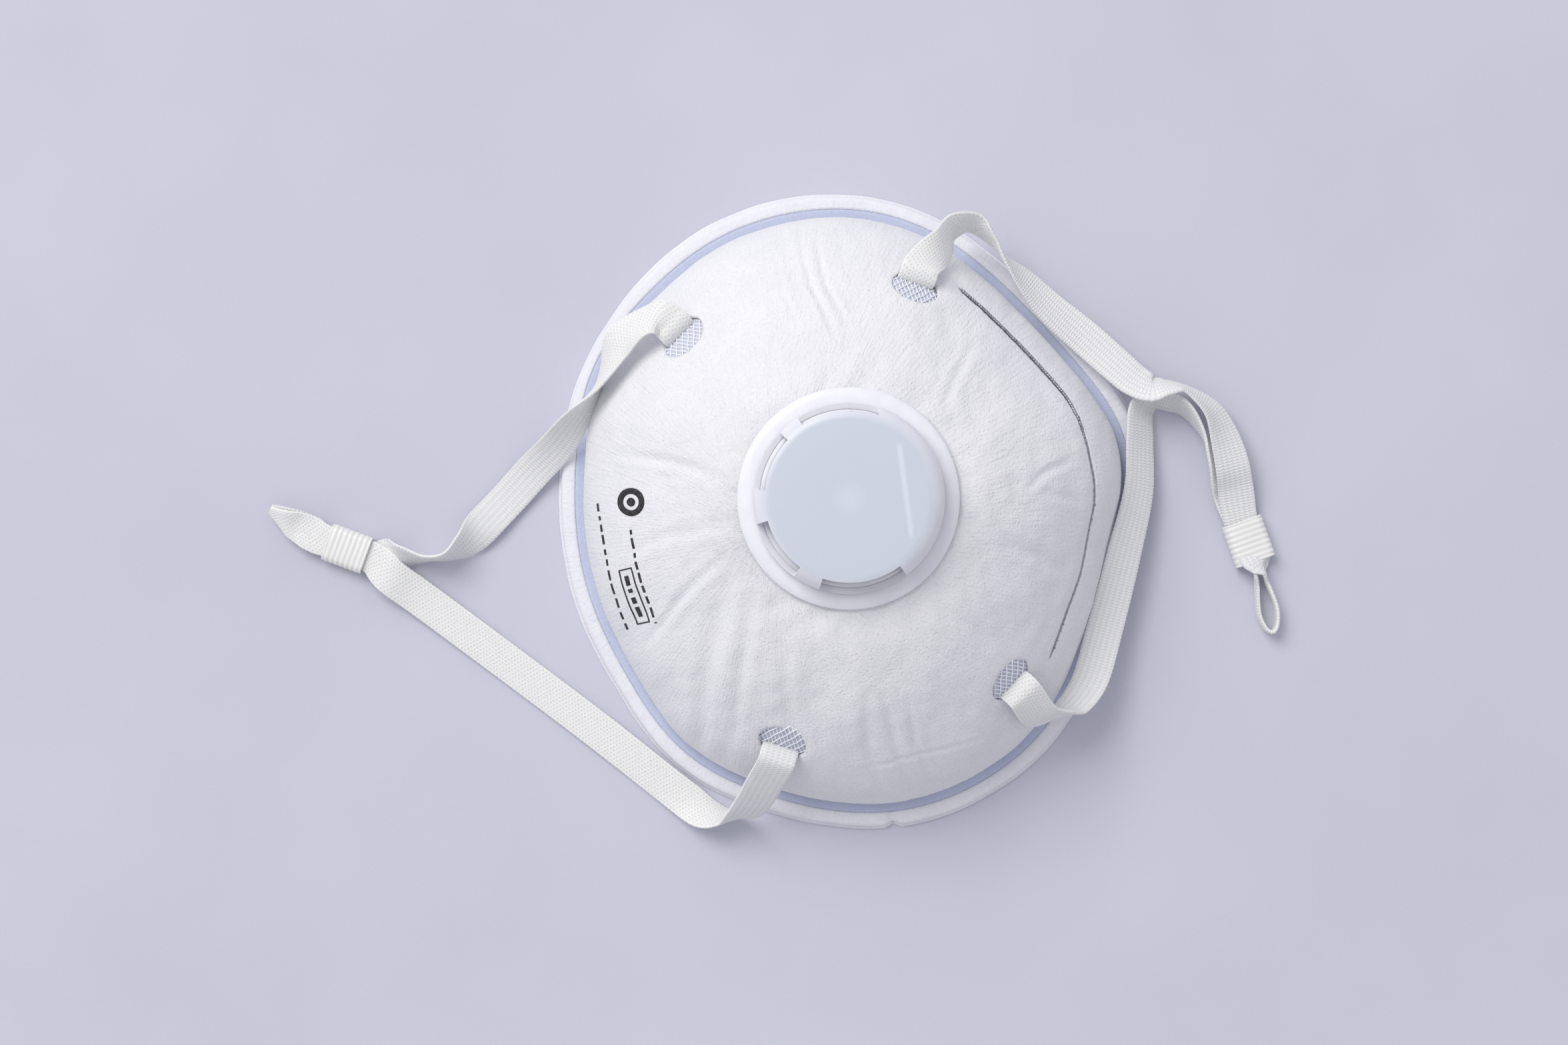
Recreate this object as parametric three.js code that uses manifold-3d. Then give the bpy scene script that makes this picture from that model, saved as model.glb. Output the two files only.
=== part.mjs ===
// Disposable cup respirator with an exhalation valve and one looped elastic band.
// Units are millimetres. +Z is up, along the valve; +Y points to the nose; the rim rests on Z = 0.
// The cup is a stack of shells pressed over one form. The band is split where its two loops
// leave the slots, so that each loop can swing on the line through its own pair of slots.

import * as THREE from 'three';
import { mergeVertices } from 'three/addons/utils/BufferGeometryUtils.js';
import Module from 'manifold-3d';

const wasm = await Module();
wasm.setup();

// ---------------------------------------------------------------- driving dimensions

// Right half of the weld seam around the rim, from the nose to the chin; the left half mirrors it.
const SEAM_HALF = [
  [0, 60], [12, 57], [26, 50], [43, 39.5], [55, 28], [62, 13],
  [63.8, 0], [62, -13], [54, -30.5], [41.5, -45], [23.5, -53], [0, -57],
];
const CUP_RISE = 44.5; // height of the cup's form above its edge
const CUP_EDGE_Z = 2.6; // height of the cover's lower edge
const CUP_ROUNDNESS = 1.8; // superellipse power of the cup's profile
const CUP_FLAT_Z = 41.6; // the crown is pressed flat at this height, under the valve
const CUP_FLAT_BLEND = 1.2; // softness of the change from the dome to the flat crown

const GAP = 0.3; // clearance between neighbouring pieces
const LAYER_GAP = 0.45; // between the pressed layers, which are not parallel to the seam everywhere
const COVER_INSET = 0.9; // cover edge inside the seam line
const COVER_THICK = 0.8;
const NET_THICK = 0.7;
const FILTER_THICK = 1.0;
const LINING_THICK = 0.5;
const POCKET_DEEP = 1.7; // extra room under the cover for the band and the nose clip
const POCKET_MID = 0.86; // where that room is deepest, as a fraction of the way to the edge
const POCKET_SPREAD = 0.13;

const SEAM_HALF_WIDTH = 0.6; // half the width of the filter flange that shows as a stripe
const RIM_OUTSET = 4.1; // rim band's outer wall beyond the seam line
const RIM_LIP = 0.5; // thin lip under the outer wall
const RIM_TOP = 2.8;

const VALVE_X = -2.6;
const VALVE_Y = -0.25;
const VALVE_TURN = -6; // degrees about +Z
const FLANGE_R = 22.3;
const FLANGE_TOP = 1.9; // above the flat crown
const BARREL_R = 16.5;
const BARREL_BORE_R = 15;
const BARREL_BELOW = 7;
const RING_DROP = 0.8; // inner ring below the lining, clear of its rounded crown
const SEAT_R = 13.4;
const SEAT_TOP = 2.7;
const FLAP_THICK = 0.5;
const FLAP_R = 14.2;
const CAP_R = 19;
const CAP_TOP_R = 16;
const CAP_TALL = 8;
const CAP_WALL = 1.2;
const BAR_Y = 11.1; // hinge bar of the flap, toward the nose from the valve's centre
const BAR_LONG = 19.4;
const CAP_WINDOWS = [[-26, 29], [-82, -43], [-141, -103], [153, 205]]; // degrees

const BAND_WIDE = 7.2;
const BAND_THICK = 1.0;
const SLOT_LONG = 5.0; // half lengths of the oval slots
const SLOT_SHORT = 4.4;
const UPPER_SLOT = [41.6, 23.8];
const LOWER_SLOT = [43.1, -25.1];
const EXIT_OUT = 3.2; // a loop of the band starts this far outward from its slot's centre
const EXIT_UP = 2.6; // and this far above the cover

const CLIP_HALF = [
  [0, 50.9], [10, 49.6], [17.5, 46.6], [25.2, 42.6], [32.2, 38], [39.6, 32.8],
];
const CLIP_THICK = 1.1;
const CLIP_DEEP = 2.2;
const CLIP_PROUD = 0.4;

const FERRULE_TALL = 4.0;
const FERRULE_WALL = 0.55;
const CHIN_FERRULE = { at: [-17.6, -105.6], heading: 236, long: 9, bandWide: 6.6, lead: 1.4 };
const CROWN_FERRULE = { at: [26.3, 81.3], heading: 6, long: 9.2, bandWide: 7.2, lead: 2.6 };
const LOW_STRAND_Z = 1.4; // the two strands lie one on the other in a ferrule
const HIGH_STRAND_Z = LOW_STRAND_Z + BAND_THICK + GAP;

const AROUND = 44; // facets around the cup
const DOWN = [0, 0.15, 0.34, 0.52, 0.69, 0.83, 0.93, 0.98, 1]; // rings from valve hole to edge

const rad = THREE.MathUtils.degToRad;

// ---------------------------------------------------------------- the cup's form

function mirroredHalf(half) {
  const left = half.slice(1).map(([x, y]) => [-x, y]).reverse();
  return [...left, ...half];
}

function seamTable() {
  const points = mirroredHalf(SEAM_HALF.slice(0, -1));
  points.push(SEAM_HALF.at(-1));
  const curve = new THREE.CatmullRomCurve3(
    points.map(([x, y]) => new THREE.Vector3(x, y, 0)), true, 'centripetal',
  );
  const table = curve.getPoints(720).map((p) => [Math.atan2(p.y, p.x), Math.hypot(p.x, p.y)]);
  table.sort((a, b) => a[0] - b[0]);
  return table;
}

const SEAM = seamTable();

function seamRadius(angle) {
  const wrapped = Math.atan2(Math.sin(angle), Math.cos(angle));
  let high = SEAM.findIndex(([a]) => a >= wrapped);
  if (high <= 0) high = 1;
  const [a0, r0] = SEAM[high - 1];
  const [a1, r1] = SEAM[high];
  return a1 === a0 ? r0 : r0 + ((r1 - r0) * (wrapped - a0)) / (a1 - a0);
}

function softMin(a, b, blend) {
  return (a + b - Math.hypot(a - b, blend)) / 2;
}

// Height of the form at a plan point, for a surface lying `depth` inside the outer one.
function cupHeight(x, y, depth) {
  const edge = seamRadius(Math.atan2(y, x)) - COVER_INSET - depth;
  const s = Math.min(1, Math.hypot(x, y) / edge);
  const rise = (CUP_RISE - depth) * (1 - s ** CUP_ROUNDNESS) ** (1 / CUP_ROUNDNESS);
  return softMin(CUP_EDGE_Z + rise, CUP_FLAT_Z - depth, CUP_FLAT_BLEND);
}

function cupPoint(x, y, depth = 0) {
  return new THREE.Vector3(x, y, cupHeight(x, y, depth));
}

function cupNormal(x, y) {
  const step = 0.2;
  const slopeX = (cupHeight(x + step, y, 0) - cupHeight(x - step, y, 0)) / (2 * step);
  const slopeY = (cupHeight(x, y + step, 0) - cupHeight(x, y - step, 0)) / (2 * step);
  return new THREE.Vector3(-slopeX, -slopeY, 1).normalize();
}

// A point `out` mm outward from a slot's centre along the cover and `up` mm off the cover.
function nearSlot(slot, out, up) {
  const [x, y] = slot;
  const normal = cupNormal(x, y);
  const radial = new THREE.Vector3(x, y, 0).normalize();
  const downhill = radial.addScaledVector(normal, -radial.dot(normal)).normalize();
  return cupPoint(x, y).addScaledVector(downhill, out).addScaledVector(normal, up);
}

// ---------------------------------------------------------------- mesh building

function geometryFrom(points, triangles) {
  const geometry = new THREE.BufferGeometry();
  const flat = points.flatMap((p) => [p.x, p.y, p.z]);
  geometry.setAttribute('position', new THREE.Float32BufferAttribute(flat, 3));
  geometry.setIndex(facesOutward(points, triangles) ? triangles.flat() : reversed(triangles));
  return geometry;
}

function reversed(triangles) {
  return triangles.flatMap(([a, b, c]) => [a, c, b]);
}

function facesOutward(points, triangles) {
  const normal = new THREE.Vector3();
  const volume = triangles.reduce((sum, [a, b, c]) => {
    normal.crossVectors(points[b], points[c]);
    return sum + points[a].dot(normal);
  }, 0);
  return volume > 0;
}

// A closed solid from rings of points. Each ring is itself a loop; the rings either
// join up in a circle or end in two flat caps.
function solidFromRings(rings, joined) {
  const size = rings[0].length;
  const points = rings.flat();
  const triangles = [];
  const steps = joined ? rings.length : rings.length - 1;
  for (let i = 0; i < steps; i += 1) {
    const next = (i + 1) % rings.length;
    for (let j = 0; j < size; j += 1) {
      const k = (j + 1) % size;
      const [a, b, c, d] = [i * size + j, i * size + k, next * size + k, next * size + j];
      triangles.push([a, b, c], [a, c, d]);
    }
  }
  if (!joined) {
    const last = (rings.length - 1) * size;
    for (let j = 1; j < size - 1; j += 1) {
      triangles.push([0, j + 1, j], [last, last + j, last + j + 1]);
    }
  }
  return geometryFrom(points, triangles);
}

function toManifold(geometry) {
  const bare = geometry.clone();
  bare.deleteAttribute('normal');
  bare.deleteAttribute('uv');
  const merged = mergeVertices(bare, 1e-4);
  return new wasm.Manifold(new wasm.Mesh({
    numProp: 3,
    vertProperties: new Float32Array(merged.attributes.position.array),
    triVerts: new Uint32Array(merged.index.array),
  }));
}

function fromManifold(solid) {
  const mesh = solid.getMesh();
  const geometry = new THREE.BufferGeometry();
  geometry.setAttribute('position', new THREE.BufferAttribute(mesh.vertProperties, 3));
  geometry.setIndex(new THREE.BufferAttribute(mesh.triVerts, 1));
  return geometry;
}

function join(...geometries) {
  const solids = geometries.map(toManifold);
  return fromManifold(solids.reduce((sum, solid) => sum.add(solid)));
}

function cut(geometry, ...cutters) {
  const solids = cutters.map(toManifold);
  return fromManifold(solids.reduce((left, solid) => left.subtract(solid), toManifold(geometry)));
}

function lathe(profile, segments = 40) {
  const geometry = new THREE.LatheGeometry(
    profile.map(([r, z]) => new THREE.Vector2(r, z)), segments,
  );
  return fromManifold(toManifold(outward(geometry.rotateX(Math.PI / 2))));
}

function outward(geometry) {
  const bare = geometry.clone();
  bare.deleteAttribute('normal');
  bare.deleteAttribute('uv');
  const merged = mergeVertices(bare, 1e-4);
  const position = merged.attributes.position;
  const points = [];
  for (let i = 0; i < position.count; i += 1) {
    points.push(new THREE.Vector3().fromBufferAttribute(position, i));
  }
  const triangles = [];
  for (let i = 0; i < merged.index.count; i += 3) {
    const corners = [0, 1, 2].map((k) => merged.index.getX(i + k));
    if (new Set(corners).size === 3) triangles.push(corners);
  }
  return geometryFrom(points, triangles);
}

function box(x, y, z, at) {
  return new THREE.BoxGeometry(x, y, z).translate(...at);
}

// ---------------------------------------------------------------- shells of the cup

function pocket(s) {
  return GAP + POCKET_DEEP * Math.exp(-(((s - POCKET_MID) / POCKET_SPREAD) ** 2));
}

const LAYERS = {
  cover: { depth: () => 0, thick: COVER_THICK },
  net: { depth: (s) => COVER_THICK + pocket(s), thick: NET_THICK },
  filter: { depth: (s) => COVER_THICK + pocket(s) + NET_THICK + LAYER_GAP, thick: FILTER_THICK },
  lining: {
    depth: (s) => COVER_THICK + pocket(s) + NET_THICK + FILTER_THICK + 2 * LAYER_GAP,
    thick: LINING_THICK,
  },
};
const STACK_AT_CROWN = LAYERS.lining.depth(0) + LINING_THICK;

// Point on a surface `below` mm under a layer's outer face; k runs from valve hole to edge.
function layerPoint(layer, below, angle, k) {
  const edgeInset = COVER_INSET + layer.depth(1) + below;
  const direction = new THREE.Vector2(Math.cos(angle), Math.sin(angle));
  const hole = new THREE.Vector2(VALVE_X, VALVE_Y).addScaledVector(direction, BARREL_R + GAP);
  const edge = direction.multiplyScalar(seamRadius(angle) - edgeInset);
  const plan = hole.lerp(edge, k);
  if (k === 1) return new THREE.Vector3(plan.x, plan.y, CUP_EDGE_Z);
  const s = plan.length() / (seamRadius(Math.atan2(plan.y, plan.x)) - edgeInset);
  return cupPoint(plan.x, plan.y, layer.depth(s) + below);
}

// A shell of one layer; `foot` lists [distance from the seam, height] points of a flat flange.
function shell(layer, foot = []) {
  const rings = [];
  for (let i = 0; i < AROUND; i += 1) {
    const angle = (2 * Math.PI * i) / AROUND;
    const outer = DOWN.map((k) => layerPoint(layer, 0, angle, k));
    const inner = DOWN.map((k) => layerPoint(layer, layer.thick, angle, k)).reverse();
    const flange = foot.map(([out, z]) => {
      const r = seamRadius(angle) + out;
      return new THREE.Vector3(r * Math.cos(angle), r * Math.sin(angle), z);
    });
    rings.push([...outer, ...flange, ...inner]);
  }
  return solidFromRings(rings, true);
}

// A flange that leaves the layer's outer face at the edge, and returns to its inner face.
function footOf(layer, top, bottom) {
  const outerWall = -COVER_INSET - layer.depth(1);
  const innerWall = outerWall - layer.thick;
  return [
    [outerWall, top], [SEAM_HALF_WIDTH, top], [SEAM_HALF_WIDTH, bottom], [innerWall, bottom],
  ];
}

function slotCutter([x, y]) {
  const oval = new THREE.Shape().absellipse(0, 0, SLOT_SHORT, SLOT_LONG, 0, 2 * Math.PI);
  const geometry = new THREE.ExtrudeGeometry(oval, {
    depth: 5, bevelEnabled: false, curveSegments: 10,
  }).translate(0, 0, -2.2);
  const normal = cupNormal(x, y);
  const radial = new THREE.Vector3(x, y, 0).normalize();
  const tangent = new THREE.Vector3().crossVectors(normal, radial).normalize();
  const downhill = new THREE.Vector3().crossVectors(tangent, normal);
  const place = new THREE.Matrix4().makeBasis(downhill, tangent, normal);
  place.setPosition(cupPoint(x, y));
  return geometry.applyMatrix4(place);
}

const SLOTS = [UPPER_SLOT, LOWER_SLOT].flatMap(([x, y]) => [[x, y], [-x, y]]);

// ---------------------------------------------------------------- strips along a path

// A strip with a rectangular section. `wide` points across it and need not be square to the path.
function strip(stations, wide, thick) {
  const rings = stations.map((station, i) => {
    const before = stations[Math.max(0, i - 1)].at;
    const after = stations[Math.min(stations.length - 1, i + 1)].at;
    const along = new THREE.Vector3().subVectors(after, before).normalize();
    const across = station.across.clone().addScaledVector(along, -station.across.dot(along));
    across.normalize();
    const face = new THREE.Vector3().crossVectors(along, across);
    const half = (station.wide ?? wide) / 2;
    return [[1, 1], [-1, 1], [-1, -1], [1, -1]].map(([a, b]) => station.at.clone()
      .addScaledVector(across, a * half)
      .addScaledVector(face, (b * thick) / 2));
  });
  return solidFromRings(rings, false);
}

function clipStations(inward, spacing) {
  const points = mirroredHalf(CLIP_HALF).map(([x, y]) => new THREE.Vector3(x, y, 0));
  const curve = new THREE.CatmullRomCurve3(points, false, 'centripetal');
  return curve.getSpacedPoints(spacing).map((p) => {
    const across = cupNormal(p.x, p.y);
    return { at: cupPoint(p.x, p.y).addScaledVector(across, -inward), across };
  });
}

function noseClip() {
  return strip(clipStations(CLIP_DEEP / 2 - CLIP_PROUD, 26), CLIP_DEEP, CLIP_THICK);
}

function noseSlitCutter() {
  const stations = clipStations(0, 26);
  const run = new THREE.Vector3().subVectors(stations[0].at, stations[1].at).normalize();
  stations[0].at.addScaledVector(run, GAP);
  const end = stations.at(-1).at;
  run.subVectors(end, stations.at(-2).at).normalize();
  end.addScaledVector(run, GAP);
  return strip(stations, 6, CLIP_THICK + 2 * GAP);
}

function outerCover() {
  return cut(shell(LAYERS.cover), ...SLOTS.map(slotCutter), noseSlitCutter());
}

function rimBand() {
  const profile = [
    [SEAM_HALF_WIDTH + GAP, 0], [RIM_OUTSET + RIM_LIP, 0], [RIM_OUTSET + RIM_LIP, 0.5],
    [RIM_OUTSET, 0.7], [RIM_OUTSET - 0.1, 1.9], [RIM_OUTSET - 0.9, RIM_TOP],
    [SEAM_HALF_WIDTH + GAP, RIM_TOP],
  ];
  const rings = [];
  for (let i = 0; i < AROUND; i += 1) {
    const angle = (2 * Math.PI * i) / AROUND;
    rings.push(profile.map(([out, z]) => {
      const r = seamRadius(angle) + out;
      return new THREE.Vector3(r * Math.cos(angle), r * Math.sin(angle), z);
    }));
  }
  return solidFromRings(rings, true);
}

// A pad lying on a layer surface: `near` and `far` are its two depths inside the outer face.
function pad(angles, fractions, near, far) {
  const face = (depthOf) => angles.map((angle) => fractions.map((s) => {
    const r = s * (seamRadius(angle) - COVER_INSET);
    const x = r * Math.cos(angle);
    const y = r * Math.sin(angle);
    return cupPoint(x, y).addScaledVector(cupNormal(x, y), -depthOf(s));
  }));
  const top = face(near);
  const bottom = face(far);
  const rings = angles.map((_, i) => [...top[i], ...bottom[i].slice().reverse()]);
  return solidFromRings(rings, false);
}

function spread(from, to, count) {
  return Array.from({ length: count }, (_, i) => from + ((to - from) * i) / (count - 1));
}

function noseFoam() {
  const inside = (s) => LAYERS.lining.depth(s) + LINING_THICK;
  const angles = spread(rad(58), rad(122), 13);
  const near = (s) => inside(s) + 0.8;
  const far = (s) => inside(s) + 4.3;
  return pad(angles, [0.7, 0.78, 0.86], near, far);
}

// ---------------------------------------------------------------- valve

function valveBase() {
  const body = lathe([
    [SEAT_R, 0.4], [BARREL_BORE_R, -1.2], [BARREL_BORE_R, -BARREL_BELOW],
    [BARREL_R, -BARREL_BELOW], [BARREL_R, GAP], [FLANGE_R - 0.4, GAP], [FLANGE_R, 0.7],
    [FLANGE_R, 1.4], [FLANGE_R - 0.5, FLANGE_TOP], [SEAT_R + 1, FLANGE_TOP],
    [SEAT_R + 1, SEAT_TOP], [SEAT_R, SEAT_TOP], [SEAT_R, 0.4],
  ]);
  const spokeLong = 2 * SEAT_R + 0.6;
  return join(
    body,
    box(spokeLong, 1.6, 1.2, [0, 0, 1.2]),
    box(1.6, spokeLong, 1.2, [0, 0, 1.2]),
    lathe([[0, 0.6], [3, 0.6], [3, 1.8], [0, 1.8]], 16),
  );
}

function valveInnerRing() {
  const top = -STACK_AT_CROWN - RING_DROP;
  return lathe([
    [BARREL_R + GAP, top], [BARREL_R + GAP, top - 1.7], [FLANGE_R - 1.2, top - 1.7],
    [FLANGE_R - 0.9, top - 1.2], [FLANGE_R - 0.9, top], [BARREL_R + GAP, top],
  ]);
}

function valveFlap() {
  const cutAngle = Math.asin((BAR_Y + 1.2) / FLAP_R);
  const outline = new THREE.Shape().absarc(0, 0, FLAP_R, cutAngle, Math.PI - cutAngle, true);
  outline.closePath();
  return new THREE.ExtrudeGeometry(outline, {
    depth: FLAP_THICK, bevelEnabled: false, curveSegments: 16,
  }).translate(0, 0, SEAT_TOP + GAP);
}

function capWindow([from, to]) {
  const outline = new THREE.Shape();
  outline.absarc(0, 0, CAP_R + 1, rad(from), rad(to), false);
  outline.absarc(0, 0, CAP_TOP_R + 0.5, rad(to), rad(from), true);
  outline.closePath();
  return new THREE.ExtrudeGeometry(outline, {
    depth: CAP_TALL - 1.5, bevelEnabled: false, curveSegments: 8,
  }).translate(0, 0, FLANGE_TOP + GAP + 0.7);
}

function valveCap() {
  const foot = FLANGE_TOP + GAP;
  const top = foot + CAP_TALL;
  const shellBody = lathe([
    [0, top], [CAP_TOP_R, top], [CAP_TOP_R + 1.8, top - 0.7], [CAP_R - 0.3, top - 2.2],
    [CAP_R, top - 3.6], [CAP_R, foot], [CAP_R - CAP_WALL, foot],
    [CAP_R - CAP_WALL, top - 3.8], [CAP_TOP_R, top - CAP_WALL], [0, top - CAP_WALL],
  ]);
  const barFoot = SEAT_TOP + GAP + FLAP_THICK + GAP;
  const barTall = top - 0.5 - barFoot;
  const bar = box(BAR_LONG, 1, barTall, [0, BAR_Y, barFoot + barTall / 2]);
  return cut(join(shellBody, bar), ...CAP_WINDOWS.map(capWindow));
}

// ---------------------------------------------------------------- elastic band

// A station of the band: a point, then the compass angle and the tilt of one chosen edge, in
// degrees. A tilt past 90 means that this edge has turned over to the other side.
function station(x, y, z, compass, tilt, wide) {
  const flat = Math.cos(rad(tilt));
  const across = new THREE.Vector3(
    flat * Math.cos(rad(compass)), flat * Math.sin(rad(compass)), Math.sin(rad(tilt)),
  );
  return { at: new THREE.Vector3(x, y, z), across, wide: wide ?? BAND_WIDE };
}

function slotStation(slot, out, up, compass) {
  const at = nearSlot(slot, out, up);
  return station(at.x, at.y, at.z, compass, 0, BAND_WIDE - 0.4);
}

// Smooth path through the stations, with the edge direction carried along it.
function smoothBand(stations, perSpan) {
  const list = stations.map((s) => ({ ...s, across: s.across.clone() }));
  for (let i = 1; i < list.length; i += 1) {
    if (list[i].across.dot(list[i - 1].across) < 0) list[i].across.negate();
  }
  const path = new THREE.CatmullRomCurve3(list.map((s) => s.at), false, 'centripetal');
  const steps = (list.length - 1) * perSpan;
  return Array.from({ length: steps + 1 }, (_, i) => {
    const t = i / perSpan;
    const low = Math.min(Math.floor(t), list.length - 2);
    const mix = THREE.MathUtils.smoothstep(t - low, 0, 1);
    return {
      at: path.getPoint(i / steps),
      across: list[low].across.clone().lerp(list[low + 1].across, mix).normalize(),
      wide: THREE.MathUtils.lerp(list[low].wide, list[low + 1].wide, mix),
    };
  });
}

// The turned-back end of a loop beyond its ferrule: out on one strand, round, and back. The two
// strands open to `open` mm from their middle line, twist together and stay on the table.
function endLoop(ferrule, { long, open, openOver, twist, twistOver, bend, firstSide }) {
  const middle = (LOW_STRAND_Z + HIGH_STRAND_Z) / 2;
  const closed = (HIGH_STRAND_Z - LOW_STRAND_Z) / 2 + 0.2;
  const along = new THREE.Vector3(Math.cos(rad(ferrule.heading)), Math.sin(rad(ferrule.heading)), 0);
  const side = new THREE.Vector3(-along.y, along.x, 0);
  const up = new THREE.Vector3(0, 0, 1);
  const out = [];
  const back = [];
  const pair = (u) => {
    const turn = rad(twist) * THREE.MathUtils.smoothstep(u, ...twistOver);
    const opened = THREE.MathUtils.smoothstep(u, ...openOver)
      - 0.5 * THREE.MathUtils.smoothstep(u, 0.7, 1);
    const apart = closed + (open - closed) * opened;
    const below = (BAND_WIDE / 2) * Math.abs(Math.sin(turn))
      + (apart + BAND_THICK / 2) * Math.cos(turn);
    const centre = new THREE.Vector3(...ferrule.at, Math.max(middle, GAP + below))
      .addScaledVector(along, ferrule.long / 2 + 0.4 + u * long)
      .addScaledVector(side, bend * Math.max(0, u - 0.1));
    return {
      centre,
      apart,
      across: side.clone().applyAxisAngle(along, turn),
      stack: up.clone().applyAxisAngle(along, turn),
      wide: THREE.MathUtils.lerp(ferrule.bandWide, BAND_WIDE, u),
    };
  };
  for (const u of [0, 0.12, 0.3, 0.55, 0.8, 0.95]) {
    const { centre, apart, across, stack, wide } = pair(u);
    const reach = firstSide * apart;
    out.push({ at: centre.clone().addScaledVector(stack, reach), across, wide });
    back.unshift({ at: centre.clone().addScaledVector(stack, -reach), across, wide });
  }
  const { centre: at, across, wide } = pair(1);
  return [...out, { at, across, wide }, ...back];
}

// The straight stretch of one strand through a ferrule, from its lead-in to its middle.
function ferruleRun(ferrule, z) {
  const [x, y] = ferrule.at;
  const [dx, dy] = [Math.cos(rad(ferrule.heading)), Math.sin(rad(ferrule.heading))];
  return [-ferrule.long / 2 - ferrule.lead, 0].map((s) => {
    return station(x + s * dx, y + s * dy, z, ferrule.heading + 90, 0, ferrule.bandWide);
  });
}

function chinLoopBand() {
  const [x, y] = LOWER_SLOT;
  const leftStrand = [
    slotStation([-x, y], EXIT_OUT, EXIT_UP, 300),
    station(-48.1, -29.2, 25.5, 309, 10),
    station(-47.7, -33.2, 24.2, 343, 30),
    station(-45.1, -38.5, 22, 375, 16),
    station(-40, -42.4, 18, 392, 42),
    station(-34.9, -47.6, 13.2, 392, 82),
    station(-31.6, -52.4, 9, 388, 112),
    station(-28, -57, 5.6, 388, 142),
    station(-24.4, -63, 2.6, 390, 168),
    station(-20, -69.6, 1.4, 393, 180),
    station(-16, -75.7, 1.9, 393, 175),
    station(-12.5, -81, 3.2, 388, 148),
    station(-11, -85.4, 4.1, 365, 112),
    station(-11.6, -89.6, 3.9, 348, 118),
    station(-13.2, -94.2, 2.6, 340, 148),
    station(-14, -97.9, 1.5, 330, 176),
    ...ferruleRun(CHIN_FERRULE, LOW_STRAND_Z),
  ];
  const rightStrand = [
    slotStation([x, y], EXIT_OUT, EXIT_UP, 60),
    station(50.6, -30.6, 19.6, 54, -12),
    station(54.6, -34.2, 13, 44, -34),
    station(57, -37.4, 7.8, 18, -66),
    station(57.2, -40.8, 4.6, -18, -104),
    station(55.2, -44.9, 2.6, -40, -146),
    station(51.4, -48.3, 1.3, -50, -176),
    station(32.4, -63.3, 0.85, -51, -180),
    station(10, -81.7, 0.85, -51, -180),
    station(-4.4, -93.6, 1.7, -50, -180),
    station(-9.6, -97.9, 3.2, -44, -180),
    ...ferruleRun(CHIN_FERRULE, HIGH_STRAND_Z),
  ];
  const turn = endLoop(CHIN_FERRULE, {
    long: 13.2, open: 1.5, openOver: [0.13, 0.45], twist: -70, twistOver: [0.3, 1], bend: -1.7,
    firstSide: -1,
  });
  return strip(smoothBand([...leftStrand, ...turn, ...rightStrand.reverse()], 2), BAND_WIDE, BAND_THICK);
}

function crownLoopBand() {
  const [x, y] = UPPER_SLOT;
  const leftStrand = [
    slotStation([-x, y], EXIT_OUT, EXIT_UP, 240),
    station(-48.8, 31.2, 20.8, 225, 46),
    station(-52.2, 35, 15.8, 205, 62),
    station(-52.2, 39.4, 12, 165, 66),
    station(-48.6, 42.4, 9.8, 125, 82),
    station(-43.6, 44.8, 8.4, 116, 102),
    station(-38.6, 47.8, 7.2, 120, 128),
    station(-31.6, 51.8, 6.2, 123, 152),
    station(-24.2, 57.2, 5.4, 128, 168),
    station(-17.2, 62, 6.1, 130, 166),
    station(-12.3, 65.3, 7.4, 139, 151),
    station(-10, 68.3, 8.6, 156, 129),
    station(-10.1, 71.1, 8, 167, 108),
    station(-9, 74.4, 6.8, 158, 102),
    station(-6, 77.6, 6.6, 136, 112),
    station(-2, 80.1, 6.5, 113, 128),
    station(4, 81.1, 6.3, 98, 150),
    station(10.4, 81.2, 6, 95, 168),
    station(15, 81, 4, 95, 179),
    ...ferruleRun(CROWN_FERRULE, HIGH_STRAND_Z),
  ];
  const rightStrand = [
    slotStation([x, y], EXIT_OUT, EXIT_UP, 120),
    station(50.6, 28.4, 20.4, 128, 40),
    station(51.8, 32, 15.6, 150, 84),
    station(50.6, 36.2, 11.6, 190, 128),
    station(46.8, 40.7, 9.2, 220, 158),
    station(36.9, 46.6, 7.6, 238, 180),
    station(22.3, 54.4, 7.8, 243, 198),
    station(9.8, 60.8, 6.3, 247, 216),
    station(0, 63.6, 4.9, 250, 222),
    station(-6.2, 65.4, 3.9, 238, 224),
    station(-7.6, 68.2, 3.8, 194, 228),
    station(-6.5, 71.3, 4, 160, 238),
    station(-4.2, 74.6, 4.3, 136, 254),
    station(1.2, 76.8, 4.3, 104, 270),
    station(6.6, 77.8, 4, 96, 292),
    station(11.4, 79.1, 2.9, 96, 324),
    station(15.2, 80, 1.8, 96, 350),
    ...ferruleRun(CROWN_FERRULE, LOW_STRAND_Z),
  ];
  const turn = endLoop(CROWN_FERRULE, {
    long: 15, open: 1.6, openOver: [0, 0.25], twist: -88, twistOver: [0.07, 0.72], bend: -2.3,
    firstSide: 1,
  });
  return strip(smoothBand([...leftStrand, ...turn, ...rightStrand.reverse()], 2), BAND_WIDE, BAND_THICK);
}

// The part of the band that stays on the mask: behind the cover, and up through both slots.
const HIDDEN_ARC = 33; // half of the arc the hidden run covers, degrees
const HIDDEN_SHARES = [0.82, 0.858, 0.895]; // where it lies between the crown and the rim
const HIDDEN_THICK = BAND_THICK - 0.1;
const RISER = [[1.6, -1.9], [1.7, 0.5], [EXIT_OUT - 1.2, EXIT_UP - 1]]; // out and up from a slot

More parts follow.
